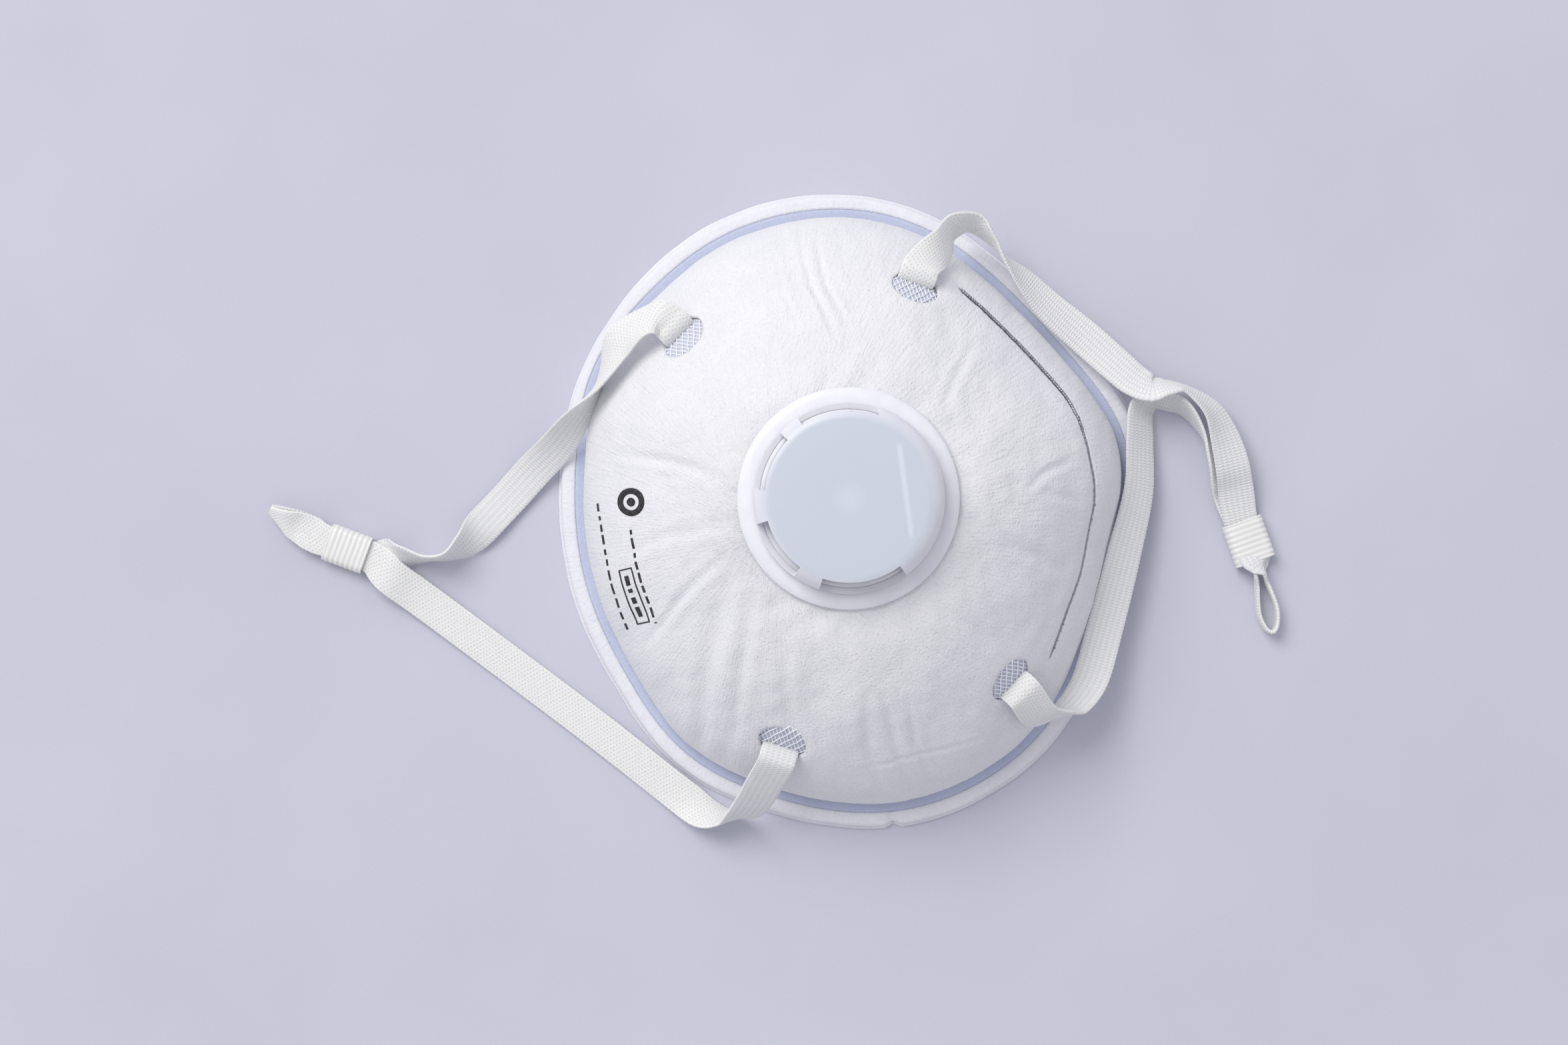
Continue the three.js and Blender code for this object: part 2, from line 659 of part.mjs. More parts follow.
function bandRun(sign) {
  const middle = sign > 0 ? 0 : Math.PI;
  const angles = spread(middle - rad(HIDDEN_ARC), middle + rad(HIDDEN_ARC), 13);
  const near = COVER_THICK + LAYER_GAP;
  const hidden = pad(angles, HIDDEN_SHARES, () => near, () => near + HIDDEN_THICK);
  const risers = [UPPER_SLOT, LOWER_SLOT].map(([x, y]) => {
    const slot = [sign * x, y];
    const compass = THREE.MathUtils.radToDeg(Math.atan2(y, sign * x)) + 90;
    const stations = RISER.map(([out, up]) => slotStation(slot, out, up, compass));
    return strip(smoothBand(stations, 2), BAND_WIDE, BAND_THICK);
  });
  return join(hidden, ...risers);
}

// ---------------------------------------------------------------- ferrules

function roundedOblong(target, wide, tall, radius) {
  const [x, y] = [wide / 2, tall / 2];
  target.moveTo(-x + radius, -y);
  target.absarc(x - radius, -y + radius, radius, -Math.PI / 2, 0, false);
  target.absarc(x - radius, y - radius, radius, 0, Math.PI / 2, false);
  target.absarc(-x + radius, y - radius, radius, Math.PI / 2, Math.PI, false);
  target.absarc(-x + radius, -y + radius, radius, Math.PI, 1.5 * Math.PI, false);
  return target;
}

function ferruleTube({ at, heading, long, bandWide }) {
  const boreWide = bandWide + 2 * GAP;
  const wide = boreWide + 2 * FERRULE_WALL;
  const outline = roundedOblong(new THREE.Shape(), wide, FERRULE_TALL, 1.6);
  const boreTall = FERRULE_TALL - 2 * FERRULE_WALL;
  outline.holes.push(roundedOblong(new THREE.Path(), boreWide, boreTall, 0.3));
  const geometry = new THREE.ExtrudeGeometry(outline, {
    depth: long, bevelEnabled: false, curveSegments: 5,
  });
  const middle = (LOW_STRAND_Z + HIGH_STRAND_Z) / 2;
  return geometry.translate(0, 0, -long / 2)
    .rotateX(Math.PI / 2).rotateZ(rad(heading) + Math.PI / 2)
    .translate(at[0], at[1], middle);
}

// ---------------------------------------------------------------- assembly

const FINISH = {
  cover: { color: 0xeef0f3, roughness: 0.92 },
  net: { color: 0xc9d0dd, roughness: 0.55 },
  filter: { color: 0x9fa9d2, roughness: 0.9 },
  lining: { color: 0xf0f1f4, roughness: 0.92 },
  rim: { color: 0xe9eaf0, roughness: 0.8 },
  foam: { color: 0xb9bcc4, roughness: 0.95 },
  clip: { color: 0x9a9da3, roughness: 0.35, metalness: 1 },
  valve: { color: 0xe9ecf3, roughness: 0.35 },
  cap: { color: 0xd6dce8, roughness: 0.3 },
  flap: { color: 0xe4e6ea, roughness: 0.5 },
  band: { color: 0xecebe7, roughness: 0.9 },
  ferrule: { color: 0xf0f0ef, roughness: 0.4 },
};

function piece(name, geometry, finish) {
  const material = new THREE.MeshStandardMaterial({ metalness: 0, ...FINISH[finish] });
  const mesh = new THREE.Mesh(geometry, material);
  mesh.name = name;
  return mesh;
}

function valveAssembly() {
  const valve = new THREE.Group();
  valve.add(
    piece('valve_base', valveBase(), 'valve'),
    piece('valve_inner_ring', valveInnerRing(), 'valve'),
    piece('valve_flap', valveFlap(), 'flap'),
    piece('valve_cap', valveCap(), 'cap'),
  );
  valve.position.set(VALVE_X, VALVE_Y, CUP_FLAT_Z);
  valve.rotation.z = rad(VALVE_TURN);
  return valve;
}

const respirator = new THREE.Group();
respirator.add(
  piece('outer_cover', outerCover(), 'cover'),
  piece('support_net', shell(LAYERS.net), 'net'),
  piece('filter_layer', shell(LAYERS.filter, footOf(LAYERS.filter, 2.2, 1.3)), 'filter'),
  piece('inner_lining', shell(LAYERS.lining, footOf(LAYERS.lining, 1.0, 0.4)), 'lining'),
  piece('rim_band', rimBand(), 'rim'),
  piece('nose_clip', noseClip(), 'clip'),
  piece('nose_foam', noseFoam(), 'foam'),
  valveAssembly(),
  piece('band_run_left', bandRun(-1), 'band'),
  piece('band_run_right', bandRun(1), 'band'),
  piece('chin_loop_band', chinLoopBand(), 'band'),
  piece('crown_loop_band', crownLoopBand(), 'band'),
  piece('chin_ferrule', ferruleTube(CHIN_FERRULE), 'ferrule'),
  piece('crown_ferrule', ferruleTube(CROWN_FERRULE), 'ferrule'),
);

// The origin is the bottom centre of the whole respirator's box.
const bounds = new THREE.Box3().setFromObject(respirator, true);
respirator.position.set(
  -(bounds.min.x + bounds.max.x) / 2, -(bounds.min.y + bounds.max.y) / 2, -bounds.min.z,
);

const group = new THREE.Group();
group.add(respirator);

export default group;
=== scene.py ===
"""Looks of a disposable cup respirator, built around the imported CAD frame.

Plan sizes below are in millimetres from the centre of the cup's seam, with +Y to the nose.
"""

import math

import bmesh
import bpy
import numpy as np
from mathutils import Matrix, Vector


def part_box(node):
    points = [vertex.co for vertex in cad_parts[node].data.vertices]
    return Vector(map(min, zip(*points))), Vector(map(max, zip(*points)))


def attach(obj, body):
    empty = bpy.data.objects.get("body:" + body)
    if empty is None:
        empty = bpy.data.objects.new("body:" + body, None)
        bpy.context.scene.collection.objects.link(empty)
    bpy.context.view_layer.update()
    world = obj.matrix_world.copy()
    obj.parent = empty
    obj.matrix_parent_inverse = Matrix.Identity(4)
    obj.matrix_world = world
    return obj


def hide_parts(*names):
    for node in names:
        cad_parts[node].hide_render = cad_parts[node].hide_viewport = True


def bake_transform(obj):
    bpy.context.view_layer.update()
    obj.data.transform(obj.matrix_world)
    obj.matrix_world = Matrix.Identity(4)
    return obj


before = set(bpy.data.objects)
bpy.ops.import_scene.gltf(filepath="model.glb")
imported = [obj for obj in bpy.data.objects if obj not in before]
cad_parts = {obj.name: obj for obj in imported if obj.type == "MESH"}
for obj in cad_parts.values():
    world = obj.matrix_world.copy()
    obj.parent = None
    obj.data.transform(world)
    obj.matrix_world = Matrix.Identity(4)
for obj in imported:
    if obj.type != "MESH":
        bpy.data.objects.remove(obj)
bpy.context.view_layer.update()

MM = 0.001
TAU = 2 * math.pi
UP = np.array([0.0, 0.0, 1.0])

# The cup's form, as in the CAD
CUP_RISE = 44.5
CUP_EDGE_Z = 2.6
CUP_ROUNDNESS = 1.8
CUP_FLAT_Z = 41.6
CUP_FLAT_BLEND = 1.2
COVER_INSET = 0.9  # cover edge inside the seam line
SEAM_SPLIT = 0.9  # rim band's inner wall outside the seam line
RIM_REACH = 4.6  # rim band's lip outside the seam line
NOSE_REACH = 60.0  # from the seam's centre to its line at the nose
SEAM_SAMPLES = 44  # points round the CAD cover's lower edge
SEAM_HARMONICS = 14
VALVE = np.array([-2.6, -0.25])
VALVE_TURN = math.radians(-6)
HOLE_R = 16.8  # hole in the layers for the valve's barrel
BAR_Y = 11.1  # the bar over the flap, from the valve's centre


# ---- frame and form


def seam_home():
    """Row-frame place of the seam's centre, in millimetres."""
    low, high = (np.array(corner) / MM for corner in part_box("rim_band"))
    return np.array([(low[0] + high[0]) / 2, high[1] - NOSE_REACH - RIM_REACH, 0.0])


HOME = seam_home()


def seam_spectrum():
    """Fourier coefficients of the seam's radius, read off the CAD cover's lower edge."""
    points = np.array([v.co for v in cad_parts["outer_cover"].data.vertices]) / MM - HOME
    edge = points[np.abs(points[:, 2] - CUP_EDGE_Z) < 0.01]
    radius = np.hypot(edge[:, 0], edge[:, 1])
    angle = np.arctan2(edge[:, 1], edge[:, 0])
    place = np.round(angle / TAU * SEAM_SAMPLES).astype(int) % SEAM_SAMPLES
    samples = np.array([radius[place == i].max() for i in range(SEAM_SAMPLES)]) + COVER_INSET
    return np.fft.rfft(samples)[:SEAM_HARMONICS + 1] / SEAM_SAMPLES


SPECTRUM = seam_spectrum()


def seam_radius(angle):
    angle = np.asarray(angle, float)
    total = np.full(angle.shape, SPECTRUM[0].real)
    for k in range(1, len(SPECTRUM)):
        total = total + 2 * (SPECTRUM[k] * np.exp(1j * k * angle)).real
    return total


def form_height(x, y, depth=0.0):
    edge = seam_radius(np.arctan2(y, x)) - COVER_INSET - depth
    s = np.clip(np.hypot(x, y) / edge, 0, 1)
    rise = (CUP_RISE - depth) * (1 - s ** CUP_ROUNDNESS) ** (1 / CUP_ROUNDNESS)
    a, b = CUP_EDGE_Z + rise, CUP_FLAT_Z - depth
    return (a + b - np.hypot(a - b, CUP_FLAT_BLEND)) / 2


def form_normal(x, y):
    step = 0.2
    slope_x = (form_height(x + step, y) - form_height(x - step, y)) / (2 * step)
    slope_y = (form_height(x, y + step) - form_height(x, y - step)) / (2 * step)
    return unit(np.stack([-slope_x, -slope_y, np.ones_like(slope_x)], -1))


def smoothstep(value, low, high):
    t = np.clip((value - low) / (high - low), 0, 1)
    return t * t * (3 - 2 * t)


def bell(value, centre, width):
    """1 at the centre, falling smoothly to 0 on both sides."""
    return np.exp(-((value - centre) / width) ** 2)


def rounding(share, least):
    """Quarter of a circle: `least` at share 0, and 1 from share 1 on."""
    return np.sqrt(np.clip(1 - (1 - np.clip(share, 0, 1)) ** 2, least, 1))


def unit(vector):
    return vector / np.linalg.norm(vector, axis=-1, keepdims=True)


def full_turn(count):
    """Evenly spaced angles once round."""
    return np.arange(count) / count * TAU


def running_length(points):
    """Length along a run of points, from 0 at the first."""
    return np.concatenate([[0], np.cumsum(np.linalg.norm(np.diff(points, axis=0), axis=1))])


def polar_rows(angle, reach, height):
    """Points at a reach from the seam's centre and a height, one row per angle."""
    x = reach * np.cos(angle)[:, None]
    y = reach * np.sin(angle)[:, None]
    return np.stack([x, y, np.broadcast_to(height, x.shape)], -1)


# ---- mesh helpers


BEAD_U = 0.04  # share of u given to the bead along each edge of the elastic
U_PERIOD = 2 * (1 + BEAD_U)  # u once round the elastic


def set_uvs(mesh, uvs):
    """Lays one UV pair per point; the face that closes a ring keeps u rising past its start."""
    loops = np.zeros(len(mesh.loops), int)
    mesh.loops.foreach_get("vertex_index", loops)
    starts = np.zeros(len(mesh.polygons), int)
    mesh.polygons.foreach_get("loop_start", starts)
    corners = uvs.reshape(-1, 2)[loops]
    highest = np.maximum.reduceat(corners[:, 0], starts)
    owner = np.repeat(np.arange(len(starts)), np.diff(np.append(starts, len(loops))))
    corners[:, 0] += U_PERIOD * (corners[:, 0] < highest[owner] - U_PERIOD / 2)
    mesh.uv_layers.new(name="UVMap").data.foreach_set("uv", corners.ravel())


def add_piece(name, points, faces, material):
    """A smooth-shaded mesh from points in millimetres."""
    mesh = bpy.data.meshes.new(name)
    points = (np.asarray(points).reshape(-1, 3) + HOME) * MM
    mesh.from_pydata(points.tolist(), [], [list(f) for f in faces])
    mesh.validate()
    mesh.shade_smooth()
    mesh.materials.append(material)
    piece = bpy.data.objects.new(name, mesh)
    bpy.context.scene.collection.objects.link(piece)
    return piece


def grid_faces(rows, columns, wrap_rows=False, wrap_columns=False):
    """Quads of a grid whose point (i, j) is number i * columns + j."""
    i = np.arange(rows if wrap_rows else rows - 1)
    j = np.arange(columns if wrap_columns else columns - 1)
    i, j = [axis.ravel() for axis in np.meshgrid(i, j, indexing="ij")]
    i2, j2 = (i + 1) % rows, (j + 1) % columns
    return np.stack([i * columns + j, i * columns + j2, i2 * columns + j2, i2 * columns + j], 1)


def modifier(piece, kind, **settings):
    added = piece.modifiers.new(kind.lower(), kind)
    for key, value in settings.items():
        setattr(added, key, value)
    return added


def finish_piece(piece, slot, *nodes, body="mask"):
    """Puts a piece on its body, and in the place of its CAD nodes; the slot is not used."""
    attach(piece, body)
    if nodes:
        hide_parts(*nodes)


def flipped(faces):
    return faces[:, ::-1]


# ---- materials


STREAK_RADIUS = 45.0  # distance from the frame's origin where the streaks' scale is true, in mm


def operation(kind):
    """A method that adds a Math node of this kind."""
    return lambda wire, *others: wire.shader.math(kind, wire, *others)


class Wire:
    """A shader value that takes plain arithmetic: each operation becomes a Math node."""

    __add__ = operation("ADD")
    __sub__ = operation("SUBTRACT")
    __mul__ = operation("MULTIPLY")
    __truediv__ = operation("DIVIDE")
    __pow__ = operation("POWER")
    __gt__ = operation("GREATER_THAN")
    __abs__ = operation("ABSOLUTE")
    cos = operation("COSINE")
    sin = operation("SINE")
    sqrt = operation("SQRT")
    floor = operation("FLOOR")
    fract = operation("FRACT")

    def __init__(self, shader, socket):
        self.shader = shader
        self.socket = socket

    def __rsub__(self, other):
        return self.shader.math("SUBTRACT", other, self)


class Shader:
    """A small helper that wires one Principled material."""

    def __init__(self, name, **inputs):
        self.material = bpy.data.materials.new(name)
        self.material.use_nodes = True
        self.tree = self.material.node_tree
        self.principled = self.tree.nodes["Principled BSDF"]
        self.bump_chain = None
        for key, value in inputs.items():
            self.set(key.replace("_", " "), value)

    def set(self, name, value):
        self.feed(self.principled.inputs[name], value)

    def feed(self, socket, value):
        if isinstance(value, Wire):
            value = value.socket
        if isinstance(value, bpy.types.NodeSocket):
            self.tree.links.new(value, socket)
        else:
            socket.default_value = value

    def node(self, kind, inputs=None, **settings):
        made = self.tree.nodes.new(kind)
        for key, value in settings.items():
            setattr(made, key, value)
        for key, value in (inputs or {}).items():
            self.feed(made.inputs[key], value)
        return made

    def math(self, kind, *values):
        made = self.node("ShaderNodeMath", dict(enumerate(values)), operation=kind)
        return Wire(self, made.outputs[0])

    def split(self, vector):
        """The three parts of a vector."""
        made = self.node("ShaderNodeSeparateXYZ", {0: vector})
        return [Wire(self, socket) for socket in made.outputs]

    def uv(self):
        """The two UV values: across and along, as the mesh laid them."""
        return self.split(self.node("ShaderNodeUVMap").outputs[0])[:2]

    def position(self, scale=(1, 1, 1)):
        """Object coordinates in millimetres, stretched by `scale`."""
        where = self.node("ShaderNodeTexCoord").outputs["Object"]
        per_metre = [s / MM for s in scale]
        return self.node("ShaderNodeMapping", {"Vector": where, "Scale": per_metre}).outputs[0]

    def noise_at(self, vector, scale, detail, rough, distort):
        made = self.node("ShaderNodeTexNoise", {
            "Vector": vector, "Scale": scale, "Detail": detail, "Roughness": rough,
            "Distortion": distort,
        })
        return Wire(self, made.outputs["Fac"])

    def noise(self, scale, detail=2.0, stretch=(1, 1, 1), distort=0.0):
        return self.noise_at(self.position(stretch), scale, detail, 0.55, distort)

    def streaks(self, around, down):
        """Noise drawn out from the frame's origin: its scales round it and outward, per mm."""
        x, y, _ = self.split(self.position())
        radius = (x ** 2 + y ** 2).sqrt()
        turned = self.node("ShaderNodeCombineXYZ", {
            0: x / radius * (STREAK_RADIUS * around),
            1: y / radius * (STREAK_RADIUS * around),
            2: radius * down,
        })
        return self.noise_at(turned.outputs[0], 1.0, 3.0, 0.5, 0.3)

    def cells(self, scale):
        made = self.node("ShaderNodeTexVoronoi", {"Vector": self.position(), "Scale": scale})
        return Wire(self, made.outputs[0])

    def mix(self, factor, first, second, kind="RGBA"):
        made = self.node("ShaderNodeMix", data_type=kind)
        for name, value in (("Factor", factor), ("A", first), ("B", second)):
            self.feed(made.inputs[name], value)
        return Wire(self, made.outputs["Result"])

    def ramp(self, value, low, high):
        """`value` stretched so that low gives 0 and high gives 1."""
        made = self.node("ShaderNodeMapRange", {"Value": value, "From Min": low, "From Max": high})
        return Wire(self, made.outputs[0])

    def fade(self, value, low, high):
        """1 up to low, falling to 0 at high."""
        return 1.0 - self.ramp(value, low, high)

    def colour(self, factor, first, second):
        self.set("Base Color", self.mix(factor, first, second))

    def bump(self, height, depth_mm):
        inputs = {"Height": height, "Distance": depth_mm * MM, "Strength": 1.0}
        if self.bump_chain is not None:
            inputs["Normal"] = self.bump_chain
        self.bump_chain = self.node("ShaderNodeBump", inputs).outputs[0]
        self.set("Normal", self.bump_chain)


def rgba(*screen):
    """Linear colour from the 0 to 255 values of a screen."""
    values = np.array(screen) / 255
    linear = np.where(values <= 0.04045, values / 12.92, ((values + 0.055) / 1.055) ** 2.4)
    return (*linear.tolist(), 1.0)


def nonwoven(name, light, dark, fuzz):
    """Thermal-bonded fibre felt: matted fibres, small pores and soft cloudiness."""
    s = Shader(name, Roughness=0.92, Sheen_Weight=0.08, Sheen_Roughness=0.5)
    s.set("Specular IOR Level", 0.25)
    clouds = s.ramp(s.noise(0.10, 3.0), 0.3, 0.7)
    fibres = s.noise(1.7, 4.0, distort=0.35)
    s.colour(clouds * 0.45 + s.ramp(fibres, 0.35, 0.65) * 0.55, dark, light)
    s.bump(fibres, fuzz * 0.8)
    s.bump(s.streaks(1.9, 0.28), fuzz * 0.9)
    s.bump(s.ramp(s.cells(1.1), 0.0, 0.35), fuzz * 0.4)
    return s.material


def elastic_material():
    """Knitted elastic: ribs on the face where u is below 1, a dotted mesh face above that."""
    s = Shader("knitted_elastic", Roughness=0.82, Sheen_Weight=0.3)
    u, v = s.uv()
    dotted = u > 1 + BEAD_U / 2
    across = u - dotted * (1 + BEAD_U)
    # ribs with a chevron of stitches on them
    rib = (across * (TAU * 6)).cos()
    stitch = ((v + rib * 0.10) * (TAU / 0.62)).sin()
    ribbed_height = rib * -0.26 + stitch * 0.32
    # diagonal rows of small holes
    row = across * 11.0
    hole_u = row.fract() - 0.5
    hole_v = (v / 0.85 + row.floor() * 0.36).fract() - 0.5
    hole = s.fade(hole_u ** 2 + hole_v ** 2, 0.015, 0.10)
    dotted_height = hole * -0.6 + stitch * 0.1
    s.bump(s.mix(dotted, ribbed_height, dotted_height, "FLOAT"), 0.10)
    yarn = s.noise(3.2, 3.0)
    s.bump(yarn, 0.06)
    # Painted shade: darker in the valleys between the ribs and stitches and in the small holes, where
    # the bump sinks; the yarn noise below is the knit's own tone
    shade = s.mix(dotted, s.ramp(ribbed_height, -0.65, 0.35), 1.0 - hole * 0.6, "FLOAT")
    s.colour(shade * s.ramp(yarn, 0.1, 0.5), rgba(214, 215, 219), rgba(238, 238, 235))
    return s.material


def plastic(name, base, rough=0.38, subsurface=0.15):
    """Moulded plastic with faint mottling; `subsurface` is how much light goes through it."""
    s = Shader(name, Subsurface_Weight=subsurface, Subsurface_Scale=0.0015, IOR=1.46)
    s.set("Subsurface Radius", (1, 1, 1))
    fine = s.noise(2.4, 3.0)
    paler = [min(1.0, c * 1.02) for c in base[:3]] + [1.0]
    darker = [c * 0.97 for c in base[:3]] + [1.0]
    s.colour(s.ramp(s.noise(0.35, 3.0), 0.3, 0.7), darker, paler)
    s.set("Roughness", fine * 0.12 + (rough - 0.06))
    s.bump(fine, 0.02)
    return s.material


def cap_material():
    """Translucent cap: painted shade makes its thin top grey-blue, for the dark inside seen through
    it; the thick wall is pale.
    """
    s = Shader("cap_plastic", Roughness=0.34)
    where = s.node("ShaderNodeTexCoord").outputs["Object"]
    centre = tuple((np.append(VALVE, 0) + HOME) * MM)
    away = s.node("ShaderNodeVectorMath", {0: where, 1: centre}, operation="SUBTRACT")
    turned = s.node("ShaderNodeVectorRotate", {"Vector": away.outputs[0], "Angle": -VALVE_TURN})
    x, y, _ = (part / MM for part in s.split(turned.outputs[0]))
    radius = (x ** 2 + y ** 2).sqrt()
    # Painted shade: grey-blue over the middle of the top, fading out towards the thick wall
    wall = s.ramp(radius + (s.noise(0.16, 2.0) - 0.5) * 1.6, 15.8, 18.4)
    # Lighter line over the flap's bar under the top, where the painted shade is lifted; the gate at
    # the centre is a real moulding mark
    bar = s.fade(abs(x), 8.6, 9.8) * s.fade(abs(y - BAR_Y), 0.2, 0.75)
    gate = s.fade(radius, 1.0, 3.6)
    marks = s.math("MAXIMUM", bar * 0.55, gate * 0.25)
    base = s.mix(wall, rgba(206, 211, 222), rgba(232, 232, 238))
    s.colour(marks, base, rgba(228, 234, 242))
    s.bump(s.noise(2.0, 3.0), 0.015)
    return s.material


def metal_material():
    s = Shader("clip_metal", Metallic=1.0, Roughness=0.36)
    streak = s.noise(1.2, 3.0, stretch=(1.0, 1.0, 6.0))
    s.colour(s.ramp(streak, 0.3, 0.7), rgba(120, 122, 128), rgba(196, 198, 203))
    s.bump(s.noise(3.0, 3.0), 0.05)
    return s.material


def foam_material():
    s = Shader("nose_foam", Roughness=0.95)
    cells = s.cells(1.6)
    # Painted shade: darker at the bottom of the cells' pits, where the bump sinks the foam
    s.colour(s.ramp(cells, 0.0, 0.6), rgba(120, 123, 130), rgba(190, 192, 198))
    s.bump(cells, 0.3)
    return s.material


def ink_material():
    s = Shader("print_ink", Roughness=0.7)
    s.colour(s.ramp(s.noise(1.6, 4.0), 0.35, 0.65), rgba(22, 22, 24), rgba(60, 60, 64))
    s.bump(s.noise(1.5, 4.0), 0.1)
    return s.material


def table_material():
    s = Shader("table_sheet", Roughness=0.75)
    s.set("Specular IOR Level", 0.2)
    cloud = s.noise(0.012, 3.0)
    s.colour(s.ramp(cloud, 0.3, 0.7), rgba(199, 199, 212), rgba(205, 206, 218))
    s.bump(s.noise(1.2, 3.0), 0.03)
    return s.material


COVER_FELT = nonwoven("cover_felt", rgba(239, 239, 240), rgba(229, 229, 233), fuzz=0.20)
LINING_FELT = nonwoven("lining_felt", rgba(240, 240, 243), rgba(220, 222, 228), fuzz=0.1)
FILTER_FELT = nonwoven("filter_felt", rgba(202, 207, 228), rgba(190, 196, 220), fuzz=0.08)
RIM_FELT = nonwoven("rim_felt", rgba(238, 238, 243), rgba(228, 228, 235), fuzz=0.12)
ELASTIC = elastic_material()
VALVE_PLASTIC = plastic("valve_plastic", rgba(238, 238, 243))
FLAP_RUBBER = plastic("flap_rubber", rgba(215, 217, 222), rough=0.5)
FERRULE_PLASTIC = plastic("ferrule_plastic", rgba(236, 236, 233), rough=0.32)
NET_PLASTIC = plastic("net_plastic", rgba(240, 242, 248), rough=0.4, subsurface=0.0)
# Painted shade: the net's shell is grey-blue, partly the filter's own blue and partly the shade seen
# through the net's holes
NET_PAINTED_SHADE = plastic("net_painted_shade", rgba(196, 200, 212), rough=0.6, subsurface=0.0)
CAP_PLASTIC = cap_material()
CLIP_METAL = metal_material()
FOAM = foam_material()
INK = ink_material()
TABLE_SHEET = table_material()


# ---- the cup's layers

SLOTS = [np.array([sx * x, y]) for x, y in ((41.6, 23.8), (43.1, -25.1)) for sx in (1, -1)]
CROWN_SLOT_RIGHT, CROWN_SLOT_LEFT, CHIN_SLOT_RIGHT, CHIN_SLOT_LEFT = SLOTS
SLOT_HALVES = (4.4, 5.0)  # down the slope and along it
CLIP_HALF = [(0, 50.9), (10, 49.6), (17.5, 46.6), (25.2, 42.6), (32.2, 38.0), (39.6, 32.8)]
CLIP_PLAN = [(-x, y) for x, y in CLIP_HALF[:0:-1]] + CLIP_HALF
SLIT_HALF = 0.42

# Creases in the cover: a run of plan points, the depth (a ridge where negative) and half width
CREASE_DEPTH = 0.85
CREASE_WOBBLE = 0.8  # how far the creases stray from their runs
CREASES = [
    ([(-60, 4.6), (-48, 3.2), (-34, 5)], 0.4, 0.6),
    ([(-59, 8), (-47, 6.2), (-36, 7.4)], 0.3, 0.55),
    ([(-58, -2), (-47, -3), (-38, -1.5)], 0.2, 0.6),
    ([(63, -2), (52, -3), (38, -2.5)], 0.5, 0.9),
    ([(62, 3.4), (50, 1), (40, 2)], 0.4, 0.75),
    ([(60, -8), (48, -8), (36, -6)], 0.4, 1.0),
    ([(5, -26), (18, -33), (31, -39), (43, -43)], 0.85, 1.7),
    ([(12, -24), (24, -29), (40, -34)], 0.6, 1.3),
    ([(20, -20), (32, -22), (46, -21)], 0.5, 1.5),
    ([(2, -27), (8, -36), (16, -47)], 0.5, 1.0),
    ([(-4, -27), (-4, -36), (-2, -46)], 0.3, 1.1),
    ([(-12, -25), (-18, -34), (-23, -43)], 0.35, 1.1),
    ([(1, 47), (2.5, 41), (5, 36)], 0.35, 0.7),
    ([(8, 46), (6, 40)], 0.3, 0.8),
    ([(24, 40), (17, 36), (13, 30)], 0.45, 1.3),
    ([(-28, 33), (-22, 27), (-17, 23)], 0.3, 1.0),
    ([(33, 20), (26, 14), (21, 10)], 0.3, 1.5),
    ([(30, 34), (38, 28)], -0.3, 1.6),
    ([(52, -10), (52.5, 4), (51, 17)], 0.22, 0.5),
]


def distance_to_run(x, y, run):
    """Distance from plan points to a broken line, and the nearest place along it, 0 to 1."""
    run = np.array(run, float)
    starts = running_length(run)
    best = np.full(x.shape, 1e9)
    place = np.zeros(x.shape)
    for k, length in enumerate(np.diff(starts)):
        direction = (run[k + 1] - run[k]) / length
        t = np.clip((x - run[k, 0]) * direction[0] + (y - run[k, 1]) * direction[1], 0, length)
        off = np.hypot(x - run[k, 0] - t * direction[0], y - run[k, 1] - t * direction[1])
        nearer = off < best
        best = np.where(nearer, off, best)
        place = np.where(nearer, (starts[k] + t) / starts[-1], place)
    return best, place


def wave_sum(angle, seed, orders):
    """Sum of sine waves round the cup, between about -1 and 1, the same on each run."""
    draw = np.random.default_rng(seed)
    total = np.zeros_like(angle)
    for order in orders:
        total += np.sin(order * angle + draw.uniform(0, TAU)) * draw.uniform(0.4, 1)
    return total / math.sqrt(len(orders))


def plan_noise(x, y, seed, size, count=24):
    """Smooth random relief in the plan, with features of about `size` millimetres."""
    draw = np.random.default_rng(seed)
    total = np.zeros_like(x)
    for _ in range(count):
        heading = draw.uniform(0, TAU)
        pitch = TAU / (size * draw.uniform(1.4, 3.2))
        phase = draw.uniform(0, TAU)
        total += np.sin(pitch * (x * math.cos(heading) + y * math.sin(heading)) + phase)
    return total / math.sqrt(count)


def between(first, second, start, stop, t):
    """Straight blend: first at t = start, second at t = stop."""
    return (first * (stop - t) + second * (t - start)) / (stop - start)


def spline(points, count):
    """Centripetal Catmull-Rom curve through the points, evenly sampled between them."""
    points = np.array(points, float)
    padded = np.vstack([2 * points[0] - points[1], points, 2 * points[-1] - points[-2]])
    out = []
    for k in range(len(padded) - 3):
        level = padded[k:k + 4]
        chords = np.linalg.norm(np.diff(level, axis=0), axis=1)
        knots = np.append(0, np.cumsum(np.maximum(1e-6, chords) ** 0.5))
        last = k == len(padded) - 4
        t = np.linspace(knots[1], knots[2], count, endpoint=last)[:, None]
        for span in (1, 2):
            level = [
                between(level[i], level[i + 1], knots[i], knots[i + span], t)
                for i in range(4 - span)
            ]
        out.append(between(level[0], level[1], knots[1], knots[2], t))
    return np.vstack(out)


CLIP_RUN = spline(CLIP_PLAN, 16)


